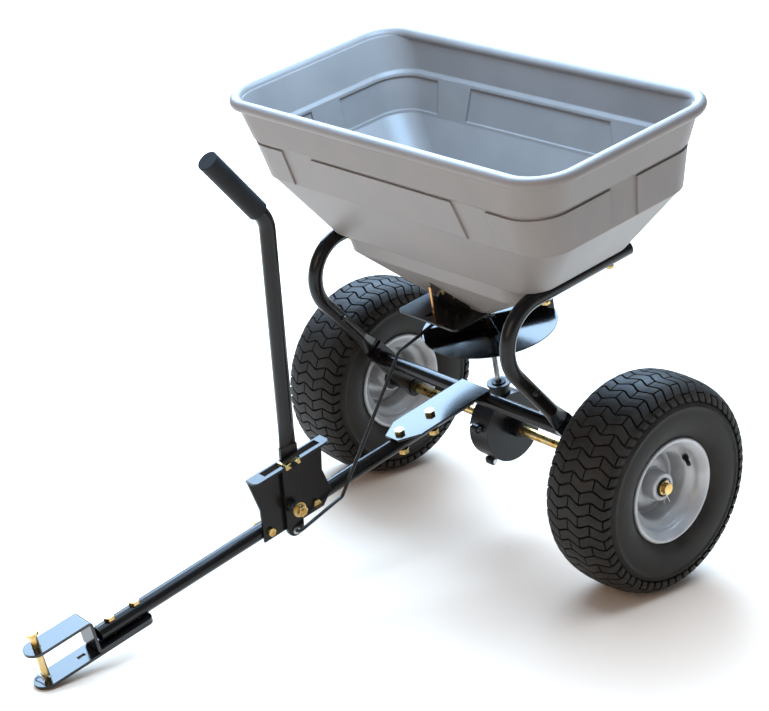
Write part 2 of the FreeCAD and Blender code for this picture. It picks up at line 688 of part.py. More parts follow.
def make_gears():
    outer = val("mesh_outer")
    inner = val("mesh_inner")
    pitch = val("pinion_teeth") * val("tooth_module") / 2
    rise = val("tooth_rise")
    depth = val("tooth_depth")
    thick = val("tooth_thick")
    bore = val("axle_radius") + val("fit_gap")
    back = val("crown_back")
    root = pitch + depth
    slope = root / outer
    crown = turned([(bore, -4), (15, -4), (15, 8), (inner - 8, slope * (inner - 2)),
                    (inner - 2, slope * (inner - 2)), (outer + 1, slope * (outer + 1)), (outer + 1, back),
                    (bore, back)], "y")
    tooth = gear_tooth((outer, pitch), root + 0.9, pitch - rise, thick)
    teeth = []
    for i in range(int(val("crown_teeth"))):
        copy = tooth.copy()
        copy.rotate(Vector(0, 0, 0), axis_y, (i + 0.5) * 360 / val("crown_teeth"))
        teeth.append(copy)
    crown = crown.fuse(teeth)
    pin_hole = rod(2 + val("fit_gap"), Vector(0, 1, -40), Vector(0, 1, 40))
    feature("crown_gear", crown.cut(pin_hole).removeSplitter())
    feature("crown_pin", rod(2, Vector(0, 1, -14.8), Vector(0, 1, 14.8)))
    bore = val("shaft_radius") + val("fit_gap")
    foot = pitch - depth
    pinion = turned([(bore, inner), (foot * inner / outer, inner), (foot, outer), (foot, outer + 3), (bore, outer + 3)], "z")
    tooth = gear_tooth((outer, pitch), foot - 0.4, pitch + rise, thick)
    teeth = []
    for i in range(int(val("pinion_teeth"))):
        copy = tooth.copy()
        copy.rotate(Vector(0, 0, 0), axis_z, i * 360 / val("pinion_teeth"))
        teeth.append(copy)
    feature("pinion", pinion.fuse(teeth).removeSplitter())


def lug_spots():
    spots = []
    for angle in (18, 162, 232, 308):
        reach = val("case_radius") + val("lug_radius") - 2
        spots.append(Vector(reach * math.cos(math.radians(angle)), 0, reach * math.sin(math.radians(angle))))
    return spots


def make_gearbox():
    left = val("case_left")
    right = val("case_right")
    wall = val("case_wall")
    reach = val("boss_reach")
    radius = val("case_radius")
    outer = rod(radius, Vector(0, -right, 0), Vector(0, left, 0))
    neck_low = Vector(0, 0, radius - 18)
    outer = outer.fuse([
        rod(val("neck_radius"), neck_low, Vector(0, 0, val("neck_top"))),
        rod(val("cap_radius"), Vector(0, 0, val("neck_top")), Vector(0, 0, val("neck_top") + val("cap_gauge"))),
        rod(val("boss_radius"), Vector(0, -reach, 0), Vector(0, reach, 0))])
    for spot in lug_spots():
        outer = outer.fuse(rod(val("lug_radius"), spot - axis_y * 7, spot + axis_y * 7))
    inner = rod(radius - wall, Vector(0, -right + wall, 0), Vector(0, left - wall, 0))
    inner = inner.fuse([
        rod(9 + val("fit_gap"), Vector(0, 0, 40), Vector(0, 0, 120)),
        rod(12 + val("fit_gap"), Vector(0, -reach - 5, 0), Vector(0, reach + 5, 0))])
    for spot in lug_spots():
        inner = inner.fuse(rod(val("screw") / 2 + 0.2, spot - axis_y * 20, spot + axis_y * 20))
    shell = outer.cut(inner)
    for label, low, high in (("gearbox_left", 0.0, 90), ("gearbox_right", -90, 0.0)):
        half = shell.common(slab(Vector(-150, low, -150), Vector(150, high, 150)))
        feature(label, half.removeSplitter())
    solids = []
    for spot in lug_spots():
        solids += bolt_with_nut(val("screw"), spot + axis_y * 7, Vector(0, -1, 0), 14)
    feature("gearbox_screws", Part.makeCompound(solids))
    bushes = []
    bore = val("axle_radius") + val("running_gap")
    for side in (-1, 1):
        sleeve = ring(bore, 12, Vector(0, side * (reach - 16), 0), Vector(0, side * reach, 0))
        lip = ring(bore, 14, Vector(0, side * reach, 0), Vector(0, side * (reach + 3), 0))
        bushes.append(sleeve.fuse(lip).removeSplitter())
    feature("gearbox_bushes", Part.makeCompound(bushes))


# Legs, cross tube and axle.

def leg_points():
    """Leg centre line from its rear end over the bend and down to the axle."""
    angle = leg_angle()
    top = val("leg_top")
    corner_x = top / math.tan(angle)
    flat = val("flat_length") + val("flat_blend")
    low = Vector(flat * math.cos(angle), 0, flat * math.sin(angle))
    return [Vector(-val("leg_rear"), 0, top), Vector(corner_x, 0, top), low]


def leg_frame(distance):
    """Placement on the leg's straight part: +X up the leg, +Y across the machine."""
    angle = leg_angle()
    spot = Vector(distance * math.cos(angle), 0, distance * math.sin(angle))
    return Placement(spot, Rotation(axis_y, -math.degrees(angle)))


def leg_section(distance, half_wide, half_thick):
    frame = leg_frame(distance)
    if half_wide == half_thick:
        curve = Part.Circle(Vector(0, 0, 0), axis_x, half_wide)
        edge = curve.toShape()
    else:
        ellipse = Part.Ellipse(Vector(0, 0, half_wide), Vector(0, half_thick, 0), Vector(0, 0, 0))
        edge = ellipse.toShape()
    edge.Placement = frame.multiply(edge.Placement)
    return Part.Wire([edge])


def make_leg(label, side):
    points = leg_points()
    outer = sweep(points, val("leg_bend"), val("tube_radius"))
    inner = sweep(points, val("leg_bend"), val("tube_radius") - val("tube_wall"))
    tube = outer.cut(inner)
    flat = val("flat_length")
    half = val("leg_width") / 2
    thick = val("leg_gauge") / 2
    start = flat + val("flat_blend")
    blend = Part.makeLoft([leg_section(start, val("tube_radius"), val("tube_radius")),
                           leg_section(flat, half, thick)], True, True)
    blade = slab(Vector(0, -thick, -half), Vector(flat + 0.5, thick, half))
    blade.Placement = leg_frame(0)
    foot = rod(half, Vector(0, -thick, 0), Vector(0, thick, 0))
    leg = tube.fuse([blend, blade, foot])
    cuts = [rod(12.25 + val("fit_gap"), Vector(0, -40, 0), Vector(0, 40, 0))]
    for spot in tab_bolt_spots():
        cuts.append(rod(val("bolt_mid") / 2 + 0.3, spot - axis_y * 40, spot + axis_y * 40))
    drill = leg_frame(val("leg_bolt_up")).Base
    cuts.append(rod(val("bolt_small") / 2 + 0.3, drill - axis_y * 40, drill + axis_y * 40))
    for spot in hopper_bolt_spots():
        if spot.y > 0:
            here = Vector(spot.x, 0, spot.z)
            cuts.append(rod(val("bolt_mid") / 2 + 0.3, here - axis_z * 20, here + axis_z * 60))
    leg = leg.cut(Part.makeCompound(cuts)).removeSplitter()
    shift = Placement(Vector(0, side * val("frame_half"), 0), Rotation())
    feature(label, leg, machine.multiply(shift))


def tab_bolt_spots():
    spots = []
    for step in (-1, 1):
        spots.append(leg_frame(val("cross_up") + step * val("tab_bolt")).Base)
    return spots


def make_leg_trim():
    caps = []
    leg_bolts = []
    tab_bolts = []
    for side in (-1, 1):
        y = side * val("frame_half")
        rear = Vector(-val("leg_rear"), y, val("leg_top"))
        plug = rod(val("tube_radius") - val("tube_wall") - 0.05, rear, rear + axis_x * 12)
        caps.append(plug.fuse(rod(val("tube_radius"), rear - axis_x * 3, rear)).removeSplitter())
        drill = leg_frame(val("leg_bolt_up")).Base + axis_y * (y - side * val("tube_radius"))
        leg_bolts += bolt_with_nut(val("bolt_small"), drill, axis_y * side, 2 * val("tube_radius"))
        seat = val("frame_half") - val("leg_gauge") / 2 - val("cross_tab")
        for spot in tab_bolt_spots():
            grip = val("leg_gauge") + val("cross_tab")
            tab_bolts += bolt_with_nut(val("bolt_mid"), spot + axis_y * side * seat, axis_y * side, grip)
    feature("leg_caps", Part.makeCompound(caps))
    feature("leg_bolts", Part.makeCompound(leg_bolts))
    feature("cross_bolts", Part.makeCompound(tab_bolts))


def make_cross_tube():
    inner_face = val("frame_half") - val("leg_gauge") / 2
    reach = inner_face - val("cross_tab")
    centre = cross_at()
    tube = ring(val("tube_radius") - val("tube_wall"), val("tube_radius"),
                centre - axis_y * reach, centre + axis_y * reach)
    half = val("leg_width") / 2
    for side in (-1, 1):
        low = min(side * reach, side * inner_face)
        tab = slab(Vector(-val("tab_half"), low, -half), Vector(val("tab_half"), low + val("cross_tab"), half))
        tab.Placement = leg_frame(val("cross_up"))
        for spot in tab_bolt_spots():
            tab = tab.cut(rod(val("bolt_mid") / 2 + 0.3, spot - axis_y * 400, spot + axis_y * 400))
        tube = tube.fuse(tab)
    feature("cross_tube", tube.removeSplitter())


def make_axle():
    body = start_body("axle")
    sketch = start_sketch(body, "axle_round", "XZ_Plane", "0")
    circle(sketch, "0", "0", "Dims.axle_radius")
    pad(body, sketch, "axle_pad", "Dims.track + 2 * Dims.axle_past", middle=True)
    drills = start_sketch(body, "axle_drills", "XY_Plane", "0")
    circle(drills, "0", "Dims.track / 2 + Dims.axle_past - 5", "2 + Dims.fit_gap")
    circle(drills, "0", "-Dims.track / 2 - Dims.axle_past + 5", "2 + Dims.fit_gap")
    circle(drills, "0", "1", "2 + Dims.fit_gap")
    circle(drills, "0", "-Dims.track / 2 + 6", "3 + Dims.fit_gap")
    pocket(body, drills, "axle_drill_cut")
    settle(body, "axle", machine)


def make_axle_trim():
    bore = val("axle_radius") + val("running_gap")
    half = val("leg_gauge") / 2
    bushes = []
    spacers = []
    washers = []
    pins = []
    for side in (-1, 1):
        inner = side * (val("frame_half") - half)
        outer = side * (val("frame_half") + half)
        sleeve = ring(bore, 12.25, Vector(0, inner, 0), Vector(0, outer + side * 3, 0))
        lip = ring(bore, 16, Vector(0, inner - side * 3, 0), Vector(0, inner, 0))
        bushes.append(sleeve.fuse(lip).removeSplitter())
        wheel = side * val("track") / 2
        hub_in = wheel - side * (val("hub_inner") + 2.5)
        spacers.append(ring(bore, 13, Vector(0, outer + side * 3.3, 0), Vector(0, hub_in - side * 0.3, 0)))
        hub_out = wheel + side * (val("hub_outer") + 2.8)
        washers.append(ring(bore, 15, Vector(0, hub_out, 0), Vector(0, hub_out + side * 2, 0)))
        y = side * (val("track") / 2 + val("axle_past") - 5)
        top = val("axle_radius") + 0.3
        head = Part.makeTorus(4.4, 1.4, Vector(0, y, top + 5.8), axis_y)
        shank = rod(2, Vector(0, y, -top - 5), Vector(0, y, top + 2.7))
        pins.append(shank.fuse(head).removeSplitter())
    feature("frame_bushes", Part.makeCompound(bushes))
    feature("axle_spacers", Part.makeCompound(spacers))
    feature("axle_washers", Part.makeCompound(washers))
    feature("split_pins", Part.makeCompound(pins))
    y = -val("track") / 2 + 6
    feature("drive_pin", rod(3, Vector(0, y, -val("hub_radius") - 1), Vector(0, y, val("hub_radius") + 1)))


# Wheels. Each is drawn about its own mid-plane, outer face towards +Y.

def wheel_place(side):
    turn = Rotation(axis_z, 0 if side > 0 else 180)
    return machine.multiply(Placement(Vector(0, side * val("track") / 2, 0), turn))


def mirrored(rows):
    """Corners down one side of a section, then back up the other side mirrored."""
    below = [(radius, "-(" + along + ")") for radius, along in rows]
    return below + rows[::-1]


def make_tyre(label, side):
    body = start_body(label)
    sketch = start_sketch(body, label + "_section", "XY_Plane", "0")
    half = "Dims.tyre_width / 2"
    bead = "Dims.rim_width / 2 - Dims.rim_gauge - Dims.bead_gap"
    base = "Dims.bead_seat_radius + Dims.bead_gap"
    lip = "Dims.flange_radius + 2"
    outer = [(base, bead), (lip, bead), ("Dims.flange_radius + 8", half + " - 6"), ("Dims.sidewall_radius", half),
             ("Dims.tyre_od / 2 - 26", half + " - 3"),
             ("Dims.tyre_od / 2 - Dims.shoulder_drop", half + " - Dims.shoulder_in"),
             ("Dims.tyre_od / 2", "Dims.tread_flat")]
    inner = [(base, bead + " - Dims.tyre_wall - 3"), (lip, bead + " - Dims.tyre_wall - 1"),
             ("Dims.sidewall_radius", half + " - Dims.tyre_wall"),
             ("Dims.tyre_od / 2 - 28", half + " - 3 - Dims.tyre_wall - 2"),
             ("Dims.tyre_od / 2 - Dims.tyre_wall - 5", "Dims.tread_flat - 4")]
    below = [(radius, "-(" + along + ")") for radius, along in outer]
    inside = [(radius, "-(" + along + ")") for radius, along in inner]
    outline(sketch, below + outer[::-1] + inner + inside[::-1])
    revolve(body, sketch, label + "_turn")
    doc.recompute()
    settle(body, label, wheel_place(side))


def make_rim(label, side, pinned):
    body = start_body(label)
    sketch = start_sketch(body, label + "_section", "XY_Plane", "0")
    seat = "Dims.bead_seat_radius"
    gauge = "Dims.rim_gauge"
    edge = "Dims.rim_width / 2"
    well = "Dims.well_radius"
    outer = [("Dims.flange_radius", edge), ("Dims.flange_radius", edge + " - " + gauge), (seat, edge + " - " + gauge),
             (seat, "44"), (well, "34")]
    below = [(radius, "-(" + along + ")") for radius, along in outer]
    deep = seat + " - " + gauge
    low = well + " - " + gauge
    left = [(deep, "-(" + edge + ")"), (deep, "-44 - " + gauge + " / 2"), (low, "-34 - " + gauge + " / 2"), (low, "-2"), ("49", "-2"),
            ("42", "6"), ("Dims.hub_radius", "9"), ("Dims.hub_radius", "-Dims.hub_inner"),
            ("Dims.hub_bore", "-Dims.hub_inner")]
    right = [("Dims.hub_bore", "Dims.hub_outer"), ("Dims.hub_radius - 4", "Dims.hub_outer"),
             ("Dims.hub_radius - 1", "9 + 2 * " + gauge), ("43.5", "6 + " + gauge), ("51", "-2 + " + gauge),
             (low, "-2 + " + gauge), (low, "34 + " + gauge + " / 2"), (deep, "44 + " + gauge + " / 2"), (deep, edge)]
    outline(sketch, below + outer[::-1] + right[::-1] + left[::-1])
    revolve(body, sketch, label + "_turn")
    doc.recompute()
    if pinned:
        drill = start_sketch(body, label + "_drill", "XY_Plane", "0")
        circle(drill, "0", "-6", "3 + Dims.fit_gap")
        cross = body.newObject("PartDesign::Pocket", label + "_drill_cut")
        cross.Profile = drill
        cross.Midplane = True
        cross.setExpression("Length", "2 * Dims.hub_radius + 4")
        doc.recompute()
    settle(body, label, wheel_place(side))


def make_wheel_trim(name, side):
    bore = val("axle_radius") + val("running_gap")
    outer = val("hub_bore") - val("fit_gap")
    bushes = []
    for way, face in ((1, val("hub_outer")), (-1, val("hub_inner"))):
        sleeve = ring(bore, outer, Vector(0, way * (face - 16), 0), Vector(0, way * face, 0))
        lip = ring(bore, 16, Vector(0, way * face, 0), Vector(0, way * (face + 2.5), 0))
        bushes.append(sleeve.fuse(lip).removeSplitter())
    feature(name + "_bushes", Part.makeCompound(bushes), wheel_place(side))
    slope = math.atan2(val("bead_seat_radius") - val("well_radius"), 10)
    lean = Vector(-math.cos(slope), math.sin(slope), 0)
    middle = (val("bead_seat_radius") + val("well_radius")) / 2 - val("rim_gauge")
    foot = Vector(middle, 39 + val("rim_gauge") / 2, 0) + lean * 0.3
    stem = rod(5.5, foot, foot + lean * 5).fuse(rod(3.6, foot, foot + lean * 20))
    stem.rotate(Vector(0, 0, 0), axis_y, -val("valve_angle"))
    feature(name + "_valve", stem.removeSplitter(), wheel_place(side))


# Tow bar, brace and hitch, drawn in the bar's frame.

def make_brace():
    body = start_body("brace_plate")
    sketch = start_sketch(body, "brace_outline", "XY_Plane", "Dims.tube_radius")
    outline(sketch, [
        ("-Dims.brace_rear", "-Dims.brace_half"), ("Dims.brace_corner", "-Dims.brace_half"),
        ("Dims.brace_tip", "-Dims.brace_tip_half"), ("Dims.brace_tip", "Dims.brace_tip_half"),
        ("Dims.brace_corner", "Dims.brace_half"), ("-Dims.brace_rear", "Dims.brace_half")])
    pad(body, sketch, "brace_pad", "Dims.brace_gauge")
    holes = start_sketch(body, "brace_holes", "XY_Plane", "0")
    circle(holes, "Dims.brace_bolt_a", "0", "Dims.bolt_big / 2 + 0.3")
    circle(holes, "Dims.brace_bolt_b", "0", "Dims.bolt_big / 2 + 0.3")
    pocket(body, holes, "brace_cut")
    settle(body, "brace_plate", bar)


def make_tow_bar():
    body = start_body("tow_bar")
    sketch = start_sketch(body, "bar_section", "YZ_Plane", "Dims.tube_radius + 0.1")
    circle(sketch, "0", "0", "Dims.tube_radius")
    circle(sketch, "0", "0", "Dims.tube_radius - Dims.tube_wall")
    pad(body, sketch, "bar_pad", "Dims.bar_end - Dims.tube_radius - 0.1")
    upright = start_sketch(body, "bar_upright_holes", "XY_Plane", "0")
    for spot in ("Dims.brace_bolt_a", "Dims.brace_bolt_b", bolt_at_a, bolt_at_b):
        circle(upright, spot, "0", "Dims.bolt_big / 2 + 0.3")
    pocket(body, upright, "bar_upright_cut")
    level = start_sketch(body, "bar_level_holes", "XZ_Plane", "0")
    for spot in ("bracket_bolt_a", "bracket_bolt_b"):
        circle(level, "Dims." + spot, "0", "Dims.bolt_mid / 2 + 0.3")
    pocket(body, level, "bar_level_cut")
    settle(body, "tow_bar", bar)


def make_bar_bolts():
    top = val("tube_radius")
    brace = []
    for spot in ("brace_bolt_a", "brace_bolt_b"):
        seat = Vector(val(spot), 0, top + val("brace_gauge"))
        brace += bolt_with_nut(val("bolt_big"), seat, Vector(0, 0, -1), 2 * top + val("brace_gauge"))
    feature("brace_bolts", Part.makeCompound(brace), bar)
    hitch = []
    for spot in ("hitch_bolt_a", "hitch_bolt_b"):
        seat = Vector(val("bar_end") - val(spot), 0, top)
        hitch += bolt_with_nut(val("bolt_big"), seat, Vector(0, 0, -1), 2 * top + 2 * val("strap_gauge"))
    feature("hitch_bolts", Part.makeCompound(hitch), bar)
    sides = []
    for spot in ("bracket_bolt_a", "bracket_bolt_b"):
        seat = Vector(val(spot), top + val("bracket_gauge"), 0)
        sides += bolt_with_nut(val("bolt_mid"), seat, Vector(0, -1, 0), 2 * top + val("bracket_gauge"))
    feature("bracket_bolts", Part.makeCompound(sides), bar)


def make_lower_strap():
    body = start_body("hitch_lower_strap")
    sketch = start_sketch(body, "lower_outline", "XY_Plane", "-Dims.tube_radius - 2 * Dims.strap_gauge")
    oblong(sketch, strap_rear, pin_at + " + Dims.strap_half", "-Dims.strap_half", "Dims.strap_half")
    pad(body, sketch, "lower_pad", "Dims.strap_gauge")
    holes = start_sketch(body, "lower_holes", "XY_Plane", "0")
    circle(holes, pin_at, "0", "Dims.pin_radius + Dims.pin_gap")
    circle(holes, bolt_at_a, "0", "Dims.bolt_big / 2 + 0.3")
    circle(holes, bolt_at_b, "0", "Dims.bolt_big / 2 + 0.3")
    oblong(holes, slot_at + " - 7", slot_at + " + 7", "-3.5", "3.5")
    pocket(body, holes, "lower_cut")
    strap_corners(body, "lower")
    settle(body, "hitch_lower_strap", bar)


def strap_corners(body, name):
    tip = pin_u() + val("strap_half")
    half = val("strap_half")
    round_corners(body, name + "_nose", [(tip, half), (tip, -half)], "Dims.strap_half - 0.2", 2)
    rear = val("bar_end") - val("strap_back")
    round_corners(body, name + "_tail", [(rear, half), (rear, -half)], "12", 2)


def make_upper_strap():
    body = start_body("hitch_upper_strap")
    sketch = start_sketch(body, "upper_profile", "XZ_Plane", "0")
    low = "-Dims.tube_radius - Dims.strap_gauge"
    outline(sketch, [
        (strap_rear, low), (web_at, low),
        (web_at, low + " + Dims.hitch_gap"),
        (pin_at + " + Dims.strap_half", low + " + Dims.hitch_gap"),
        (pin_at + " + Dims.strap_half", low + " + Dims.hitch_gap + Dims.strap_gauge"),
        (web_at + " - Dims.strap_gauge", low + " + Dims.hitch_gap + Dims.strap_gauge"),
        (web_at + " - Dims.strap_gauge", "-Dims.tube_radius"),
        (strap_rear, "-Dims.tube_radius")])
    pad(body, sketch, "upper_pad", "2 * Dims.strap_half", middle=True)
    base = strap_low()
    gap = val("hitch_gap")
    gauge = val("strap_gauge")
    web = val("bar_end") + val("web_reach")
    round_corners(body, "upper_bend_out", [(web - gauge, base + gap + gauge), (web, base)], "Dims.strap_gauge + 2", 1)
    round_corners(body, "upper_bend_in", [(web, base + gap), (web - gauge, base + gauge)], "2", 1)
    strap_corners(body, "upper")
    holes = start_sketch(body, "upper_holes", "XY_Plane", "0")
    circle(holes, pin_at, "0", "Dims.pin_radius + Dims.pin_gap")
    circle(holes, bolt_at_a, "0", "Dims.bolt_big / 2 + 0.3")
    circle(holes, bolt_at_b, "0", "Dims.bolt_big / 2 + 0.3")
    pocket(body, holes, "upper_cut")
    settle(body, "hitch_upper_strap", bar)


def make_hitch_pin():
    u = pin_u()
    top = strap_low() + val("hitch_gap") + val("strap_gauge") + val("pin_above")
    radius = val("pin_radius")
    clip = strap_low() + val("clip_up")
    pin = rod(radius, Vector(u, 0, pin_foot()), Vector(u, 0, top))
    pin = pin.fuse(rod(val("pin_head_radius"), Vector(u, 0, top), Vector(u, 0, top + val("pin_head"))))
    pin = pin.cut(rod(val("clip_wire") + 0.15, Vector(u, -20, clip), Vector(u, 20, clip)))
    feature("hitch_pin", pin.removeSplitter(), bar)
    away = u + radius + val("clip_wire") + 0.5
    feature("hairpin", sweep([
        Vector(u, 14, clip), Vector(u, -26, clip), Vector(away + 3, -26, clip), Vector(away, -9, clip),
        Vector(away, 9, clip), Vector(away + 4, 15, clip)], [4.5, 4.5, 6, 6], val("clip_wire")), bar)


# Lever and what it moves.

def make_bracket():
    body = start_body("lever_bracket")
    sketch = start_sketch(body, "bracket_outline", "XZ_Plane", "-Dims.tube_radius")
    outline(sketch, [
        ("Dims.bracket_bolt_b + 16", "-Dims.tube_radius"), ("Dims.bracket_bolt_a - 14", "-Dims.tube_radius"),
        ("Dims.bracket_back + 5", "7"), ("Dims.bracket_back + 14", "52"), ("Dims.bracket_back", "Dims.bracket_top"),
        ("Dims.bracket_front", "Dims.bracket_top"), ("Dims.bracket_front - 11", "46")])
    pad(body, sketch, "bracket_pad", "Dims.bracket_gauge", reverse=True)
    top = start_sketch(body, "flange_outline", "XY_Plane", "Dims.bracket_top - Dims.bracket_gauge")
    oblong(top, "Dims.bracket_back", "Dims.bracket_front",
           "Dims.tube_radius", "Dims.tube_radius + Dims.flange_reach")
    pad(body, top, "flange_pad", "Dims.bracket_gauge")
    far = val("tube_radius") + val("flange_reach")
    round_corners(body, "flange_round", [(val("bracket_back"), far), (val("bracket_front"), far)], "10", 2)
    slot = start_sketch(body, "slot_outline", "XY_Plane", "Dims.bracket_top")
    oblong(slot, "Dims.slot_back", "Dims.slot_front", "Dims.tube_radius + Dims.bracket_gauge",
           "Dims.tube_radius + Dims.bracket_gauge + Dims.slot_width")
    pocket(body, slot, "slot_cut")
    holes = start_sketch(body, "bracket_holes", "XZ_Plane", "0")
    circle(holes, "Dims.bracket_bolt_a", "0", "Dims.bolt_mid / 2 + 0.3")
    circle(holes, "Dims.bracket_bolt_b", "0", "Dims.bolt_mid / 2 + 0.3")
    circle(holes, "Dims.pivot_u", "Dims.pivot_up", "Dims.bolt_big / 2 + 0.3")
    pocket(body, holes, "bracket_cut")
    settle(body, "lever_bracket", bar)


def plate_face():
    return val("tube_radius") + val("bracket_gauge")


def lever_place():
    pivot = bar_place().multVec(Vector(val("pivot_u"), 0, val("pivot_up")))
    mid = plate_face() + val("lever_gap") + val("lever_gauge") / 2
    return Placement(Vector(pivot.x, mid, pivot.z), Rotation(axis_y, -val("lever_lean")))


def make_lever():
    half = val("lever_half")
    thick = val("lever_gauge") / 2
    radius = val("tube_radius")
    flat = val("lever_flat")
    start = flat + val("lever_blend")
    blade = slab(Vector(-half, -thick, -val("lever_below") + half), Vector(half, thick, flat + 0.5))
    toe = Vector(0, 0, -val("lever_below") + half)
    foot = rod(half, toe - axis_y * thick, toe + axis_y * thick)
    oval = Part.Ellipse(Vector(half, 0, 0), Vector(0, thick, 0), Vector(0, 0, 0)).toShape()
    oval.translate(Vector(0, 0, flat))
    round_end = Part.makeCircle(radius, Vector(0, 0, start), axis_z)
    blend = Part.makeLoft([Part.Wire([oval]), Part.Wire([round_end])], True, True)
    turn = math.radians(val("handle_turn"))
    bend = Vector(0, 0, val("lever_bend_up"))
    end = bend + Vector(math.sin(turn), 0, math.cos(turn)) * val("handle_length")
    path = [Vector(0, 0, start), bend, end]
    tube = sweep(path, val("lever_bend"), radius).cut(sweep(path, val("lever_bend"), radius - val("tube_wall")))
    lever = tube.fuse([blend, blade, foot])
    pivot = rod(val("bolt_big") / 2 + val("running_gap"), Vector(0, -40, 0), Vector(0, 40, 0))
    down = Vector(0, 0, -val("rod_down"))
    hook = rod(val("rod_radius") + val("running_gap"), down - axis_y * 40, down + axis_y * 40)
    place = machine.multiply(lever_place())
    feature("lever", lever.cut(Part.makeCompound([pivot, hook])).removeSplitter(), place)
    way = (end - bend).normalize()
    grip_start = end - way * val("grip_length")
    grip = ring(radius + val("fit_gap"), val("grip_radius"), grip_start, end)
    grip = grip.fuse(rod(val("grip_radius"), end + way * 0.1, end + way * 5))
    grip = grip.fuse(ring(radius + val("fit_gap"), val("grip_radius"), end - way, end + way * 0.2))
    feature("grip", grip.removeSplitter(), place)


def make_pivot():
    thick = val("lever_gauge")
    seat = Vector(val("pivot_u"), val("tube_radius"), val("pivot_up"))
    spring = 14
    washer = 1.6
    start = plate_face() + val("lever_gap") + thick + 0.3
    u = val("pivot_u")
    up = val("pivot_up")
    grip = start + spring + washer - val("tube_radius") + 0.3
    feature("pivot_bolt", Part.makeCompound(bolt_with_nut(val("bolt_big"), seat, axis_y, grip)), bar)
    bore = val("bolt_big") / 2 + 0.3
    spacer = ring(bore, 7.5, Vector(u, start, up), Vector(u, start + spring, up))
    plate = ring(bore, 13, Vector(u, start + spring, up), Vector(u, start + spring + washer, up))
    feature("pivot_spacer", spacer, bar)
    feature("pivot_washer", plate, bar)
    gap = ring(bore, 9, Vector(u, plate_face(), up), Vector(u, plate_face() + val("lever_gap") - 0.3, up))
    feature("pivot_shim", gap, bar)


def rod_hook():
    return lever_place().multVec(Vector(0, 0, -val("rod_down")))


def make_rod():
    hook = rod_hook()
    inner = lever_place().Base.y - val("lever_gauge") / 2 - 0.6
    side = lever_place().Base.y + val("rod_out")
    points = [
        Vector(hook.x, inner, hook.z), Vector(hook.x, side, hook.z),
        Vector(val("rod_low_x"), side, val("rod_low_z")),
        Vector(val("rod_high_x"), val("rod_high_y"), val("rod_top_z")),
        Vector(val("gate_pin_x"), val("gate_pin_y"), val("rod_top_z")),
        Vector(val("gate_pin_x"), val("gate_pin_y"), val("gate_pin_top"))]
    feature("control_rod", sweep(points, [5, val("rod_bend"), val("rod_bend"), 5], val("rod_radius")))
    outer = lever_place().Base.y + val("lever_gauge") / 2 + 0.3
    hook_out = Vector(hook.x, outer, hook.z)
    clip = ring(val("rod_radius") + val("fit_gap"), 6.5, hook_out, hook_out + axis_y * 1.6)
    feature("rod_clip", clip)


def make_stop():
    """Sheet clip that rides on the flange's outer strip, with a lug ahead of the lever."""
    gauge = val("stop_gauge")
    gap = 0.3
    outer = val("tube_radius") + val("flange_reach")
    inner = plate_face() + val("slot_width")
    top = val("bracket_top")
    low = top - val("bracket_gauge")
    pivot = val("pivot_up")
    lean = math.radians(val("lever_lean") + val("bar_drop"))
    lever_u = val("pivot_u") - (top - pivot) * math.tan(lean) + val("lever_half") / math.cos(lean)
    nose = lever_u + val("stop_gap")
    tail = nose + val("stop_lug") - val("stop_reach")
    y_out = outer + gap
    roof = slab(Vector(tail, inner + 1, top + gap), Vector(nose + val("stop_lug"), y_out + gauge, top + gap + gauge))
    wall = slab(Vector(tail, y_out, low - gap - gauge), Vector(nose + val("stop_lug"), y_out + gauge, top + gap + gauge))
    floor = slab(Vector(tail, inner + 1, low - gap - gauge), Vector(nose + val("stop_lug"), y_out + gauge, low - gap))
    arm = slab(Vector(nose, plate_face() + 2.5, top + gap), Vector(nose + val("stop_lug"), inner + 1.5, top + gap + gauge))
    lug = slab(Vector(nose, plate_face() + 2.5, low - 2), Vector(nose + val("stop_lug"), inner - gap, top + gap + gauge))
    clip = roof.fuse([wall, floor, arm, lug])
    middle = (nose + val("stop_lug") + tail) / 2
    spot = Vector(middle, y_out + gauge, (top + low) / 2)
    clip = clip.cut(rod(2.55, spot - axis_y * 3, spot + axis_y))
    feature("stop_clip", clip.removeSplitter(), bar)
    knob = rod(2.5, spot - axis_y * (gauge + 0.1), spot + axis_y * 7).fuse(rod(6, spot + axis_y * 1, spot + axis_y * 6))
    feature("stop_screw", knob.removeSplitter(), bar)


def build():
    make_hopper()
    make_throat_plate()
    make_hopper_bolts()
    make_outlet_plate()
    make_gate()
    make_gate_guides()
    make_shaft()
    make_impeller()
    make_shaft_bushes()
    make_gears()
    make_gearbox()
    make_leg("left_leg", 1)
    make_leg("right_leg", -1)
    make_leg_trim()
    make_cross_tube()
    make_axle()
    make_axle_trim()
    for name, side in (("left", 1), ("right", -1)):
        make_tyre(name + "_tyre", side)
        make_rim(name + "_rim", side, side < 0)
        make_wheel_trim(name, side)
    make_brace()
    make_tow_bar()
    make_bar_bolts()
    make_lower_strap()
    make_upper_strap()
    make_hitch_pin()
    make_bracket()
    make_lever()
    make_pivot()
    make_rod()
    make_stop()


def write_parts():
    doc.recompute()
    for thing in doc.Objects:
        if "Invalid" in thing.State or "Error" in thing.State:
            raise RuntimeError("failed object: " + thing.Name)
    for piece in pieces:
        if piece.Shape.isNull() or not piece.Shape.isValid() or not piece.Shape.Solids:
            raise RuntimeError("bad shape: " + piece.Label)
    os.makedirs("parts", exist_ok=True)
    for piece in pieces:
        piece.Shape.exportStep("parts/" + piece.Label + ".step")


build()
write_parts()
print("pieces", len(pieces), "pitch", round(floor_pitch(), 3), "axle x", round(machine.Base.x, 2))
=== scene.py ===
import json
import math

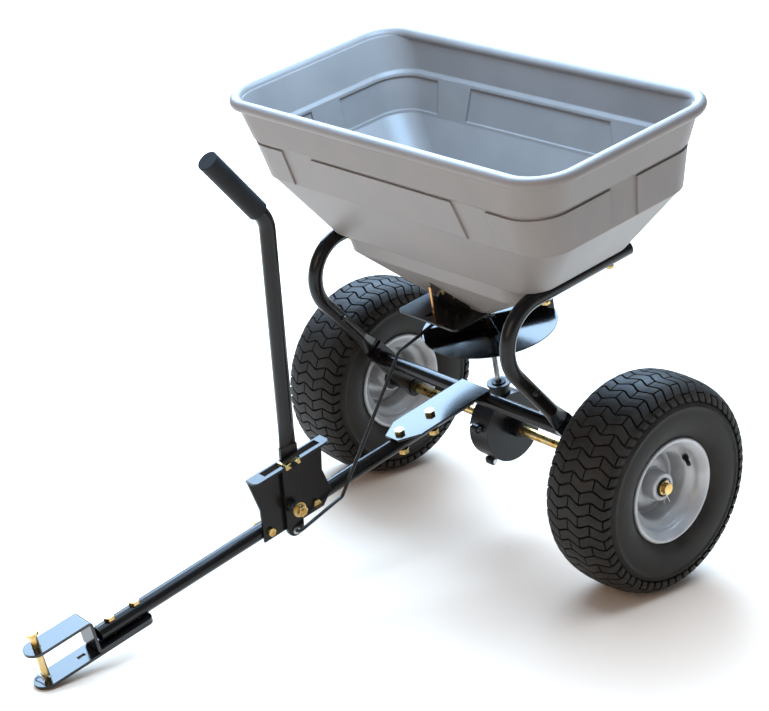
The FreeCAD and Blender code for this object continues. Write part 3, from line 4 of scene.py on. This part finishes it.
import bpy
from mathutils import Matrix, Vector


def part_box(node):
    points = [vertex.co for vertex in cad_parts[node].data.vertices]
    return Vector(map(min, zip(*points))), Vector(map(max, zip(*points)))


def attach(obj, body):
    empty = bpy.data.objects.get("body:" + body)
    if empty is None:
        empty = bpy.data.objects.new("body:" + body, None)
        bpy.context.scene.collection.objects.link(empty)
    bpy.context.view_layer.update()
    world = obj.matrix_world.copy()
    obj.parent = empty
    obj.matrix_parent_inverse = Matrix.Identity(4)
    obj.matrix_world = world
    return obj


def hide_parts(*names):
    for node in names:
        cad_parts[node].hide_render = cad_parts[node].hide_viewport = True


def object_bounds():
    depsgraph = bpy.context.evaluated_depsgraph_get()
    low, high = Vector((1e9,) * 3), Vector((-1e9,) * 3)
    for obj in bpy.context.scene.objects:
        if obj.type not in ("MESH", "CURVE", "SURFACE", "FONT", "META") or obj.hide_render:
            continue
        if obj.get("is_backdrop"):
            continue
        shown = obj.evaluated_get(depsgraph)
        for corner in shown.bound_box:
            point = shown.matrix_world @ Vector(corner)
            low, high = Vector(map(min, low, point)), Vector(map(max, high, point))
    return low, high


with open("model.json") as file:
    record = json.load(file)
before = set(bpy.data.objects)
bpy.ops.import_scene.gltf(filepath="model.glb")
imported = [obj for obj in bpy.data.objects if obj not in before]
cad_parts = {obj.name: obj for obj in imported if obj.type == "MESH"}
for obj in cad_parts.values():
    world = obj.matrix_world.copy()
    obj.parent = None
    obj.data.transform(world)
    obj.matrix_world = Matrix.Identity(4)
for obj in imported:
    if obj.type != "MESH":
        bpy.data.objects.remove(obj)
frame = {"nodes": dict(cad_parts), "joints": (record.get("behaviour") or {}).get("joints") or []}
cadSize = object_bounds()
scene = bpy.context.scene
nodes = frame["nodes"]
mm = 0.001
print("frame loaded:", len(nodes), "nodes")


def linear(hexText):
    parts = [int(hexText[i:i + 2], 16) / 255 for i in (1, 3, 5)]
    curve = [c / 12.92 if c <= 0.04045 else ((c + 0.055) / 1.055) ** 2.4 for c in parts]
    return (curve[0], curve[1], curve[2], 1.0)


# Adds one node: settings go on its inputs, links are {input: (node, output)},
# and rows are a colour ramp's stops as (where, colour).
def add(material, kind, settings=None, links=None, rows=(), **props):
    made = material.node_tree.nodes.new("ShaderNode" + kind)
    for name, value in props.items():
        setattr(made, name, value)
    for name, value in (settings or {}).items():
        made.inputs[name].default_value = value
    for name, (source, output) in (links or {}).items():
        material.node_tree.links.new(source.outputs[output], made.inputs[name])
    if rows:
        band = made.color_ramp
        while len(band.elements) < len(rows):
            band.elements.new(0.5)
        for element, (where, colour) in zip(band.elements, rows):
            element.position = where
            element.color = colour
    return made


def blank(name):
    material = bpy.data.materials.new(name)
    material.use_nodes = True
    material.node_tree.nodes.clear()
    place = add(material, "TexCoord")
    return material, place


def finishOff(material, surface):
    add(material, "OutputMaterial", links={"Surface": (surface, "BSDF")})
    return material


def grey(level):
    return (level, level, level, 1.0)


def paint(names, material):
    for name in names:
        mesh = nodes[name].data
        mesh.materials.clear()
        mesh.materials.append(material)


def perMetre(millimetres):
    return 1000.0 / millimetres


# Polyethylene tub, injection moulded: soft broad sheen, a faint mottle and a fine grain in the skin.
def mouldedPolyethylene():
    tub = {"pale": "#807873", "deep": "#78716d", "mottleMm": 90, "grainMm": 2.4, "edgeMm": 3.5}
    material, place = blank("mouldedPolyethylene")
    mottle = add(material, "TexNoise", {"Scale": perMetre(tub["mottleMm"]), "Detail": 4.0},
                 {"Vector": (place, "Object")})
    tone = add(material, "ValToRGB", links={"Fac": (mottle, "Fac")},
                rows=[(0.3, linear(tub["deep"])), (0.7, linear(tub["pale"]))])
    grain = add(material, "TexNoise", {"Scale": perMetre(tub["grainMm"]), "Detail": 2.0},
                {"Vector": (place, "Object")})
    sheen = add(material, "ValToRGB", links={"Fac": (mottle, "Fac")},
                rows=[(0.2, grey(0.4)), (0.8, grey(0.5))])
    edge = add(material, "Bevel", {"Radius": tub["edgeMm"] / 1000}, samples=6)
    skin = add(material, "Bump", {"Strength": 0.16, "Distance": 0.0006},
               {"Height": (grain, "Fac"), "Normal": (edge, "Normal")})
    surface = add(material, "BsdfPrincipled", {"IOR": 1.51},
                  {"Base Color": (tone, "Color"), "Roughness": (sheen, "Color"), "Normal": (skin, "Normal")})
    return finishOff(material, surface)


# Steel tube and plate under black powder coat: deep gloss with the slight orange peel of the baked coat.
def powderCoat(name="blackPowderCoat", deep="#0c0a09", pale="#161311", rough=(0.2, 0.3),
               edgeMm=0.9, shine=0.3):
    coat = {"dustMm": 60, "peelMm": 3.0, "coat": 0.08, "coatRough": 0.12}
    material, place = blank(name)
    dust = add(material, "TexNoise", {"Scale": perMetre(coat["dustMm"]), "Detail": 6.0},
               {"Vector": (place, "Object")})
    tone = add(material, "ValToRGB", links={"Fac": (dust, "Fac")},
                rows=[(0.35, linear(deep)), (0.75, linear(pale))])
    haze = add(material, "ValToRGB", links={"Fac": (dust, "Fac")},
                rows=[(0.3, grey(rough[0])), (0.8, grey(rough[1]))])
    peel = add(material, "TexNoise", {"Scale": perMetre(coat["peelMm"]), "Detail": 1.0},
               {"Vector": (place, "Object")})
    edge = add(material, "Bevel", {"Radius": edgeMm / 1000}, samples=6)
    skin = add(material, "Bump", {"Strength": 0.05, "Distance": 0.0004},
               {"Height": (peel, "Fac"), "Normal": (edge, "Normal")})
    surface = add(material, "BsdfPrincipled",
                  {"IOR": 1.46, "Specular IOR Level": shine,
                   "Coat Weight": coat["coat"], "Coat Roughness": coat["coatRough"]},
                  {"Base Color": (tone, "Color"), "Roughness": (haze, "Color"), "Normal": (skin, "Normal")})
    return finishOff(material, surface)


# Zinc plate on steel, yellow or clear passivated: straw to copper drift over a cold metal,
# with fine drawn scratches.
def zincPlate(name, first, second, third, rough=(0.22, 0.36)):
    plate = {"driftMm": 14, "scratchMm": 0.9}
    material, place = blank(name)
    drift = add(material, "TexNoise", {"Scale": perMetre(plate["driftMm"]), "Detail": 3.0},
                {"Vector": (place, "Object")})
    tone = add(material, "ValToRGB", links={"Fac": (drift, "Fac")},
                rows=[(0.32, linear(first)), (0.5, linear(second)), (0.68, linear(third))])
    haze = add(material, "ValToRGB", links={"Fac": (drift, "Fac")},
                rows=[(0.3, grey(rough[0])), (0.7, grey(rough[1]))])
    scratch = add(material, "TexNoise", {"Scale": perMetre(plate["scratchMm"]), "Detail": 2.0},
                  {"Vector": (place, "Object")})
    edge = add(material, "Bevel", {"Radius": 0.0006}, samples=4)
    skin = add(material, "Bump", {"Strength": 0.08, "Distance": 0.0002},
               {"Height": (scratch, "Fac"), "Normal": (edge, "Normal")})
    surface = add(material, "BsdfPrincipled", {"Metallic": 1.0},
                  {"Base Color": (tone, "Color"), "Roughness": (haze, "Color"), "Normal": (skin, "Normal")})
    return finishOff(material, surface)


# Pressed wheel disc under silver enamel: metal flake below a smooth lacquer, slightly cloudy.
def silverEnamel():
    disc = {"pale": "#b9babb", "deep": "#a6a6a6", "cloudMm": 35, "flakeMm": 1.2}
    material, place = blank("silverEnamel")
    cloud = add(material, "TexNoise", {"Scale": perMetre(disc["cloudMm"]), "Detail": 4.0},
                {"Vector": (place, "Object")})
    tone = add(material, "ValToRGB", links={"Fac": (cloud, "Fac")},
                rows=[(0.3, linear(disc["deep"])), (0.7, linear(disc["pale"]))])
    flake = add(material, "TexVoronoi", {"Scale": perMetre(disc["flakeMm"])}, {"Vector": (place, "Object")})
    haze = add(material, "ValToRGB", links={"Fac": (flake, "Distance")},
                rows=[(0.0, grey(0.3)), (1.0, grey(0.45))])
    edge = add(material, "Bevel", {"Radius": 0.0015}, samples=6)
    skin = add(material, "Bump", {"Strength": 0.05, "Distance": 0.0002},
               {"Height": (flake, "Distance"), "Normal": (edge, "Normal")})
    surface = add(material, "BsdfPrincipled", {"Metallic": 0.25, "Coat Weight": 0.3, "Coat Roughness": 0.2},
                  {"Base Color": (tone, "Color"), "Roughness": (haze, "Color"), "Normal": (skin, "Normal")})
    return finishOff(material, surface)


# Vulcanised tyre rubber: dry satin black, bloom in patches, pores drawn coarser than real so that they show.
def tyreRubber(name="tyreRubber", deep="#211e1b", pale="#302c28", rough=(0.46, 0.64), edgeMm=1.3):
    rubber = {"bloomMm": 38, "poreMm": 1.6}
    material, place = blank(name)
    bloom = add(material, "TexNoise", {"Scale": perMetre(rubber["bloomMm"]), "Detail": 6.0},
                {"Vector": (place, "Object")})
    tone = add(material, "ValToRGB", links={"Fac": (bloom, "Fac")},
                rows=[(0.35, linear(deep)), (0.7, linear(pale))])
    haze = add(material, "ValToRGB", links={"Fac": (bloom, "Fac")},
                rows=[(0.3, grey(rough[0])), (0.7, grey(rough[1]))])
    pore = add(material, "TexNoise", {"Scale": perMetre(rubber["poreMm"]), "Detail": 3.0},
               {"Vector": (place, "Object")})
    edge = add(material, "Bevel", {"Radius": edgeMm / 1000}, samples=4)
    skin = add(material, "Bump", {"Strength": 0.2, "Distance": 0.0003},
               {"Height": (pore, "Fac"), "Normal": (edge, "Normal")})
    surface = add(material, "BsdfPrincipled", {"IOR": 1.5, "Specular IOR Level": 0.17},
                  {"Base Color": (tone, "Color"), "Roughness": (haze, "Color"), "Normal": (skin, "Normal")})
    return finishOff(material, surface)


# The control rod is powder coated up to its last bend; its upright end is bare copper-washed wire.
def dippedRod():
    rod = {"coat": "#101011", "bare": "#b98452", "above": 0.054, "driftMm": 9}
    material, place = blank("dippedControlRod")
    spin = [joint for joint in frame["joints"] if joint["name"] == "impeller_spin"][0]
    up = Vector(spin["axis"])
    start = up.dot(Vector(spin["pos_m"])) + rod["above"]
    height = add(material, "VectorMath", {1: up}, {0: (place, "Object")}, operation="DOT_PRODUCT")
    bare = add(material, "Math", {1: start}, {0: (height, "Value")}, operation="GREATER_THAN")
    drift = add(material, "TexNoise", {"Scale": perMetre(rod["driftMm"])}, {"Vector": (place, "Object")})
    wire = add(material, "ValToRGB", links={"Fac": (drift, "Fac")},
                rows=[(0.3, linear(rod["bare"])), (0.7, linear("#cfa070"))])
    tone = add(material, "Mix", {6: linear(rod["coat"])}, {0: (bare, "Value"), 7: (wire, "Color")},
               data_type="RGBA")
    surface = add(material, "BsdfPrincipled", {"Roughness": 0.27},
                  {"Base Color": (tone, 2), "Metallic": (bare, "Value")})
    return finishOff(material, surface)


silver = silverEnamel()
black = powderCoat()
plateBlack = powderCoat("flatPlateCoat", "#0d0c0c", "#181616", (0.14, 0.2), 1.2, 0.55)
castBlack = powderCoat("satinGearboxPaint", "#0b0b0c", "#161616", (0.3, 0.45))
impellerBlack = powderCoat("glossImpellerPlastic", "#0a0a0b", "#121213", (0.12, 0.2))
yellowZinc = zincPlate("yellowZincPlate", "#b98a4c", "#d6b878", "#c7b184")
brightZinc = zincPlate("clearZincPlate", "#a9adb0", "#c6c9cb", "#b9b7ae")
zinc = {"yellow": yellowZinc, "bright": brightZinc}
gearSteel = zincPlate("oiledGearSteel", "#5c5d5f", "#77787a", "#6a6864", (0.3, 0.42))
rubber = tyreRubber()
vinyl = tyreRubber("dippedVinylGrip", "#161617", "#1f1f20", (0.45, 0.6), 2.0)
nylon = tyreRubber("blackNylon", "#121213", "#1b1b1c", (0.35, 0.5), 0.6)

paint(["hopper"], mouldedPolyethylene())
paint(["outlet_plate", "throat_plate", "gate_guides", "left_leg", "right_leg", "cross_tube", "tow_bar",
       "lever_bracket", "lever", "gate"], black)
paint(["brace_plate", "hitch_lower_strap", "hitch_upper_strap", "leg_bolts", "cross_bolts"], plateBlack)
paint(["impeller"], impellerBlack)
paint(["gearbox_left", "gearbox_right"], castBlack)
paint(["axle", "hopper_bolts", "throat_bolts", "outlet_bolts", "brace_bolts", "hitch_bolts",
       "bracket_bolts", "pivot_bolt", "pivot_washer", "axle_washers", "hitch_pin", "stop_clip"], yellowZinc)
paint(["impeller_shaft", "roll_pin", "agitator", "gearbox_screws", "pivot_spacer", "pivot_shim", "split_pins",
       "drive_pin", "crown_pin", "hairpin", "rod_clip"], brightZinc)
paint(["crown_gear", "pinion"], gearSteel)
paint(["shaft_bushes", "gearbox_bushes", "frame_bushes", "left_bushes", "right_bushes", "leg_caps",
       "stop_screw", "axle_spacers"], nylon)
paint(["grip"], vinyl)
paint(["left_valve", "right_valve"], nylon)
paint(["control_rod"], dippedRod())
print("finishes done")


axle = Vector([joint for joint in frame["joints"] if joint["name"] == "axle_spin"][0]["pos_m"])
# wallMm is one side of the casing from bead to tread as (radius, distance in from the widest point).
tyre = {"bands": 58, "blockMm": 46.0, "waveMm": 4.6, "grooveMm": 3.8, "slitMm": 2.6, "flareMm": 3.2,
        "lugDepthMm": 7.0, "rings": 160, "shoulderMm": 66, "leanMm": 0.8, "spreadMm": 0.5, "plateau": 0.75,
        "sunkMm": 0.4, "lastBlockMm": 8,
        "wallMm": [(91.2, 17.5), (92.2, 15.4), (94.5, 13.6), (98, 11.0), (102, 7.8), (107, 4.8), (113, 2.6),
                   (121, 1.0), (131, 0.2), (141, 0.3), (148.6, 1.3), (149.3, 0.2), (150.3, 0.2), (151, 1.8),
                   (156, 2.4)]}


# Turns a section of (radius, across) points about the wheel's own axis.
def revolve(section, count, closed=False):
    verts = []
    for radius, across in section:
        for i in range(count):
            turn = 2 * math.pi * i / count
            verts.append((radius * math.cos(turn), across, radius * math.sin(turn)))
    faces = []
    rows = len(section)
    for row in range(rows if closed else rows - 1):
        for i in range(count):
            a = row * count
            b = ((row + 1) % rows) * count
            faces.append((a + i, b + i, b + (i + 1) % count, a + (i + 1) % count))
    return verts, faces


# The tread's top line from the middle to the foot of the shoulder, as (distance, radius, across).
def treadLine(outer, half):
    marks = [(outer, 0), (outer - 0.3 * mm, 14 * mm), (outer - 1.3 * mm, 28 * mm),
             (outer - 3.8 * mm, 42 * mm), (outer - 8.5 * mm, 54 * mm), (outer - 15 * mm, 63 * mm),
             (outer - 23 * mm, half - 3 * mm), (outer - 31 * mm, half - 1.4 * mm)]
    line = [(0.0, outer, 0.0)]
    for (radiusA, acrossA), (radiusB, acrossB) in zip(marks, marks[1:]):
        for k in range(1, 5):
            radius = radiusA + (radiusB - radiusA) * k / 4
            across = acrossA + (acrossB - acrossA) * k / 4
            step = math.hypot(radius - line[-1][1], across - line[-1][2])
            line.append((line[-1][0] + step, radius, across))
    return line


# Radius, across and outward normal at a signed distance from the middle of the tread.
def treadPoint(line, along):
    side = -1 if along < 0 else 1
    reach = min(abs(along), line[-1][0])
    for (startA, radiusA, acrossA), (startB, radiusB, acrossB) in zip(line, line[1:]):
        if reach <= startB:
            break
    share = (reach - startA) / (startB - startA)
    run = Vector((radiusB - radiusA, acrossB - acrossA)).normalized()
    return (radiusA + (radiusB - radiusA) * share, side * (acrossA + (acrossB - acrossA) * share),
            Vector((run.y, -side * run.x)))


def meshOf(name, verts, faces, smoothCount):
    mesh = bpy.data.meshes.new(name)
    mesh.from_pydata(verts, [], faces)
    mesh.update()
    for polygon in mesh.polygons:
        polygon.use_smooth = polygon.index < smoothCount
    return mesh


# One block between two zigzag grooves: a fine grid on top and four sloping walls.
def addLug(verts, faces, line, start, end, turns, outer):
    period = tyre["blockMm"] * mm
    steps = max(2, round((end - start) / (period / 8)))
    depth = tyre["lugDepthMm"] * mm
    shoulder = tyre["shoulderMm"] * mm
    # across one block: (turn about the axle, share of the depth it is sunk by, which way its wall leans)
    columns = ((turns[0], 1.0, -1), (turns[0], 0.0, 0), (sum(turns) / 2, -0.03, 0),
               (turns[1], 0.0, 0), (turns[1], 1.0, 1))
    grid = []
    for j in range(steps + 1):
        along = start + (end - start) * j / steps
        wave = abs((along / period) % 1.0 - 0.5) * 4 - 1
        wave = max(-tyre["plateau"], min(tyre["plateau"], wave)) / tyre["plateau"]
        radius, across, normal = treadPoint(line, along)
        foot = 0.45 if abs(along) > line[-1][0] - 2 * mm else 1.0
        row = []
        for i, (turn, sink, lean) in enumerate(columns):
            flare = tyre["flareMm"] * max(0.0, abs(along) - shoulder) / (line[-1][0] - shoulder) * (2 - i) / 2
            angle = turn + (wave * tyre["waveMm"] + lean * tyre["leanMm"] + flare) * mm / outer
            down = sink * depth * foot
            spread = 0.0
            if j in (0, steps) and sink == 1.0:
                spread = tyre["spreadMm"] * mm * (-1 if j == 0 else 1)
            r = radius - normal.x * down
            y = across - normal.y * down + spread * abs(normal.x)
            row.append(len(verts))
            verts.append((r * math.cos(angle), y, r * math.sin(angle)))
        grid.append(row)
    for low, high in zip(grid, grid[1:]):
        for i in range(4):
            faces.append((low[i], low[i + 1], high[i + 1], high[i]))
    for row, order in ((grid[0], -1), (grid[-1], 1)):
        faces.append(tuple(row[::order]))


def tyreMesh(name, outer, width):
    half = width / 2
    floor = tyre["lugDepthMm"] * mm - tyre["sunkMm"] * mm
    section = [(radius * mm, half - drop * mm) for radius, drop in tyre["wallMm"]]
    line = treadLine(outer, half)
    for distance, radius, across in line[::-4]:
        normal = treadPoint(line, distance)[2]
        section.append((radius - normal.x * floor, across - normal.y * floor))
    section += [(radius, -across) for radius, across in section[-2::-1]]
    verts, faces = revolve(section, tyre["rings"])
    carcass = len(faces)
    band = 2 * math.pi / tyre["bands"]
    groove = tyre["grooveMm"] * mm / outer / 2
    slit = tyre["slitMm"] * mm / 2
    reach = line[-1][0]
    block = tyre["blockMm"] * mm
    lastBlock = tyre["lastBlockMm"] * mm
    for k in range(tyre["bands"]):
        turns = (band * k + groove, band * (k + 1) - groove)
        marks = [(n + 0.5 * (k % 2)) * block for n in range(-3, 4)]
        marks = [-reach] + [mark for mark in marks if abs(mark) < reach - lastBlock] + [reach]
        for start, end in zip(marks, marks[1:]):
            near = start + (slit if start > -reach else 0)
            far = end - (slit if end < reach else 0)
            addLug(verts, faces, line, near, far, turns, outer)
    return meshOf(name, verts, faces, carcass)


# The pressed rim: one strip rolled from lip to lip, and the dished disc with its hub tube, both given
# their gauge. The sections are (radius, across); the barrel is one half, mirrored for the other.
wheelDisc = {"gaugeMm": 2.4, "steps": 128,
             "barrelMm": [(90.2, 56.0), (91.6, 56.6), (92.4, 58.0), (91.8, 59.6), (90.2, 60.2), (88.2, 59.6),
                          (84.5, 56.6), (80.5, 53.4), (77.6, 50.6), (76.0, 47.6), (75.2, 44.0), (73.0, 41.0),
                          (69.0, 38.2), (65.0, 35.8), (62.0, 33.4), (60.4, 30.0), (59.9, 25.0)],
             "discMm": [(60.2, 2.0), (58.0, -0.6), (54.0, -1.4), (50.0, -0.4), (46.0, 3.4), (42.0, 6.4),
                        (36.0, 7.8), (30.0, 8.2), (26.4, 9.2), (24.0, 12.0)],
             "hubMm": [(24.0, -36.0), (24.0, 35.4), (23.4, 37.0), (22.0, 37.8), (14.8, 38.0)]}


def rimMesh(name, outward):
    half = wheelDisc["barrelMm"]
    barrel = half + [(radius, -across) for radius, across in half[::-1]]
    strips = [[(radius * mm, across * mm) for radius, across in barrel],
              [(radius * mm, outward * across * mm) for radius, across in wheelDisc["discMm"]],
              [(radius * mm, outward * across * mm) for radius, across in wheelDisc["hubMm"]]]
    verts = []
    faces = []
    for strip in strips:
        more, skin = revolve(strip, wheelDisc["steps"])
        faces += [tuple(v + len(verts) for v in face) for face in skin]
        verts += more
    return meshOf(name, verts, faces, len(faces))


def mountPiece(name, data, where, body, slotName, *replaced):
    made = bpy.data.objects.new(name, data)
    made.location = where
    scene.collection.objects.link(made)
    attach(made, body)
    if replaced:
        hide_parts(*replaced)
    return made


for side, body, outward in (("left", "left_wheel", 1), ("right", "axle_and_right_wheel", -1)):
    low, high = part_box(side + "_tyre")
    mesh = tyreMesh(side + "Tread", (high.z - low.z) / 2, high.y - low.y)
    mesh.materials.append(rubber)
    mountPiece(side + "TreadedTyre", mesh, (low + high) / 2, body, "tyre_rubber", side + "_tyre")
    disc = rimMesh(side + "Disc", outward)
    disc.materials.append(silver)
    rim = mountPiece(side + "PressedRim", disc, (low + high) / 2, body, "silver_rim", side + "_rim")
    gauge = rim.modifiers.new("gauge", "SOLIDIFY")
    gauge.thickness = wheelDisc["gaugeMm"] * mm
    gauge.offset = 0
print("wheels done")


# Hub ends: chamfered washers smaller than the black bush, and cotters with their legs spread.
def lathe(name, section, count, material, body, slotName, where, *replaced):
    verts, faces = revolve(section, count, True)
    mesh = meshOf(name, verts, faces, 0)
    mesh.materials.append(material)
    return mountPiece(name, mesh, where, body, slotName, *replaced)


def wire(name, paths, gauge, material, body, slotName, *replaced):
    curve = bpy.data.curves.new(name, "CURVE")
    curve.dimensions = "3D"
    curve.bevel_depth = gauge / 2
    curve.bevel_resolution = 5
    curve.use_fill_caps = True
    for points in paths:
        spline = curve.splines.new("NURBS")
        spline.points.add(len(points) - 1)
        for knot, point in zip(spline.points, points):
            knot.co = (point[0], point[1], point[2], 1.0)
        spline.use_endpoint_u = True
        spline.order_u = 3
    curve.materials.append(material)
    return mountPiece(name, curve, (0, 0, 0), body, slotName, *replaced)


cotter = {"gaugeMm": 2.2, "legShare": 0.7, "eyeMm": 5.0, "spreadMm": 7.0, "tailMm": 14.0, "insetMm": 1.7,
          "riseMm": 1.2, "halfGapMm": 0.55, "tipOutMm": 1.5}
washer = {"outerMm": 12.8, "chamferMm": 0.4, "gapMm": 0.25}
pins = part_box("split_pins")
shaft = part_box("axle")
shaftRadius = (shaft[1].z - shaft[0].z) / 2
for side, outward in (("left", 1), ("right", -1)):
    y = outward * (pins[1].y - cotter["insetMm"] * mm)
    top = shaftRadius + cotter["riseMm"] * mm
    eye = cotter["eyeMm"] * mm
    tail = cotter["tailMm"] * mm
    spread = cotter["spreadMm"] * mm
    near = cotter["halfGapMm"] * mm
    out = outward * cotter["tipOutMm"] * mm
    legs = []
    for way in (-1, 1):
        legs.append([(axle.x, y, axle.z + top + eye),
                     (axle.x + way * eye * 0.6, y, axle.z + top + eye * 0.9),
                     (axle.x + way * eye * 0.6, y, axle.z + top + eye * 0.2),
                     (axle.x + way * near, y, axle.z + top),
                     (axle.x + way * near, y, axle.z),
                     (axle.x + way * near, y, axle.z - top),
                     (axle.x + way * spread * 0.4, y, axle.z - top - tail * 0.4),
                     (axle.x + way * spread, y + out, axle.z - top - tail)])
    wire(side + "Cotter", legs, cotter["gaugeMm"] * cotter["legShare"] * mm, zinc["bright"],
         "axle_and_right_wheel", "bright_zinc", *(["split_pins"] if side == "left" else []))
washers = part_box("axle_washers")
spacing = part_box("left_bushes")
inner = shaftRadius + washer["gapMm"] * mm
outer = washer["outerMm"] * mm
chamfer = washer["chamferMm"] * mm
thick = washers[1].y - spacing[1].y
profile = [(inner, -thick / 2), (outer - chamfer, -thick / 2), (outer, -thick / 2 + chamfer),
           (outer, thick / 2 - chamfer), (outer - chamfer, thick / 2), (inner, thick / 2)]
for side, outward in (("left", 1), ("right", -1)):
    where = Vector((axle.x, outward * (washers[1].y - thick / 2), axle.z))
    lathe(side + "HubWasher", profile, 96, zinc["yellow"], "axle_and_right_wheel", "yellow_zinc", where,
          *(["axle_washers"] if side == "left" else []))
print("hub ends done", round(thick * 1000, 2))


studio = {"floorSize": 200.0, "floor": "#ffead6", "worldTop": "#c5dcf4", "worldLow": "#f4e6da",
          "worldStrength": 0.36, "key": "#c8def6", "keyStrength": 4.3, "keySpread": 1.25,
          "keyAim": (0.22, 0.2, -1.0),
          "skyPanel": "#b4d6f8", "skyPower": 560.0, "skySize": (4.5, 3.0), "skyFrom": (-1.7, -3.3, 2.9),
          "fill": "#ffe0c4", "fillPower": 34.0, "fillSize": (3.0, 2.0), "fillFrom": (3.4, 1.2, 1.6),
          "tubLight": "#a6cff5", "tubPower": 24.0, "tubSize": (0.6, 0.4)}


def stageFloor():
    mesh = bpy.data.meshes.new("floor")
    half = studio["floorSize"] / 2
    corners = [(-half, -half, 0), (half, -half, 0), (half, half, 0), (-half, half, 0)]
    mesh.from_pydata(corners, [], [(0, 1, 2, 3)])
    floor = bpy.data.objects.new("floor", mesh)
    scene.collection.objects.link(floor)
    material = blank("paperFloor")[0]
    surface = add(material, "BsdfPrincipled",
                  {"Base Color": linear(studio["floor"]), "Roughness": 0.95, "Specular IOR Level": 0.0})
    mesh.materials.append(finishOff(material, surface))
    floor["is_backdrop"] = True


def panel(name, colour, power, size, where, aim):
    light = bpy.data.lights.new(name, "AREA")
    light.shape = "RECTANGLE"
    light.size, light.size_y = size
    light.energy = power
    light.color = linear(colour)[:3]
    lamp = bpy.data.objects.new(name, light)
    lamp.location = where
    lamp.rotation_euler = (Vector(aim) - Vector(where)).to_track_quat("-Z", "Y").to_euler()
    scene.collection.objects.link(lamp)
    return lamp


# Overcast light from above, even over the whole floor.
def softSky():
    light = bpy.data.lights.new("softSky", "SUN")
    light.energy = studio["keyStrength"]
    light.angle = studio["keySpread"]
    light.color = linear(studio["key"])[:3]
    lamp = bpy.data.objects.new("softSky", light)
    lamp.rotation_euler = Vector(studio["keyAim"]).to_track_quat("-Z", "Y").to_euler()
    scene.collection.objects.link(lamp)


def skyWorld():
    world = bpy.data.worlds.new("studioSky")
    scene.world = world
    world.use_nodes = True
    world.node_tree.nodes.clear()
    where = add(world, "TexCoord")
    split = add(world, "SeparateXYZ", links={0: (where, "Generated")})
    tone = add(world, "ValToRGB", links={"Fac": (split, "Z")},
               rows=[(0.0, linear(studio["worldLow"])), (0.6, linear(studio["worldTop"]))])
    sky = add(world, "Background", {"Strength": studio["worldStrength"]}, {"Color": (tone, "Color")})
    add(world, "OutputWorld", links={"Surface": (sky, 0)})


view = {"fromAxle": (2.3675, 2.4607, 1.3396), "yaw": 0.869, "tilt": 0.341, "lens": 93.97, "sensor": 36.0}


def setCamera():
    data = bpy.data.cameras.new("threeQuarter")
    data.lens = view["lens"]
    data.sensor_width = view["sensor"]
    data.clip_end = 100
    camera = bpy.data.objects.new("threeQuarter", data)
    camera.location = axle + Vector(view["fromAxle"])
    flat = math.cos(view["tilt"])
    ahead = -Vector((math.cos(view["yaw"]) * flat, math.sin(view["yaw"]) * flat, math.sin(view["tilt"])))
    camera.rotation_euler = ahead.to_track_quat("-Z", "Y").to_euler()
    scene.collection.objects.link(camera)
    scene.camera = camera


scene.view_settings.view_transform = "Standard"
stageFloor()
skyWorld()
centre = Vector((axle.x + 0.1, 0, 0.4))
panel("skyPanel", studio["skyPanel"], studio["skyPower"], studio["skySize"],
      centre + Vector(studio["skyFrom"]), centre)
softSky()
panel("fillPanel", studio["fill"], studio["fillPower"], studio["fillSize"],
      centre + Vector(studio["fillFrom"]), centre)
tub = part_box("hopper")
tubMiddle = (tub[0] + tub[1]) / 2
overTub = Vector((tubMiddle.x + 0.05, tubMiddle.y + 0.05, tub[1].z + 0.5))
tubLamp = panel("tubPanel", studio["tubLight"], studio["tubPower"], studio["tubSize"], overTub, tubMiddle)
tubLamp.visible_camera = False
setCamera()
print("studio done")

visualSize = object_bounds()


def plain(value):
    if isinstance(value, (list, tuple, Vector)):
        return [plain(part) for part in value]
    return float(value)


{"cad": plain(cadSize), "visual": plain(visualSize)}
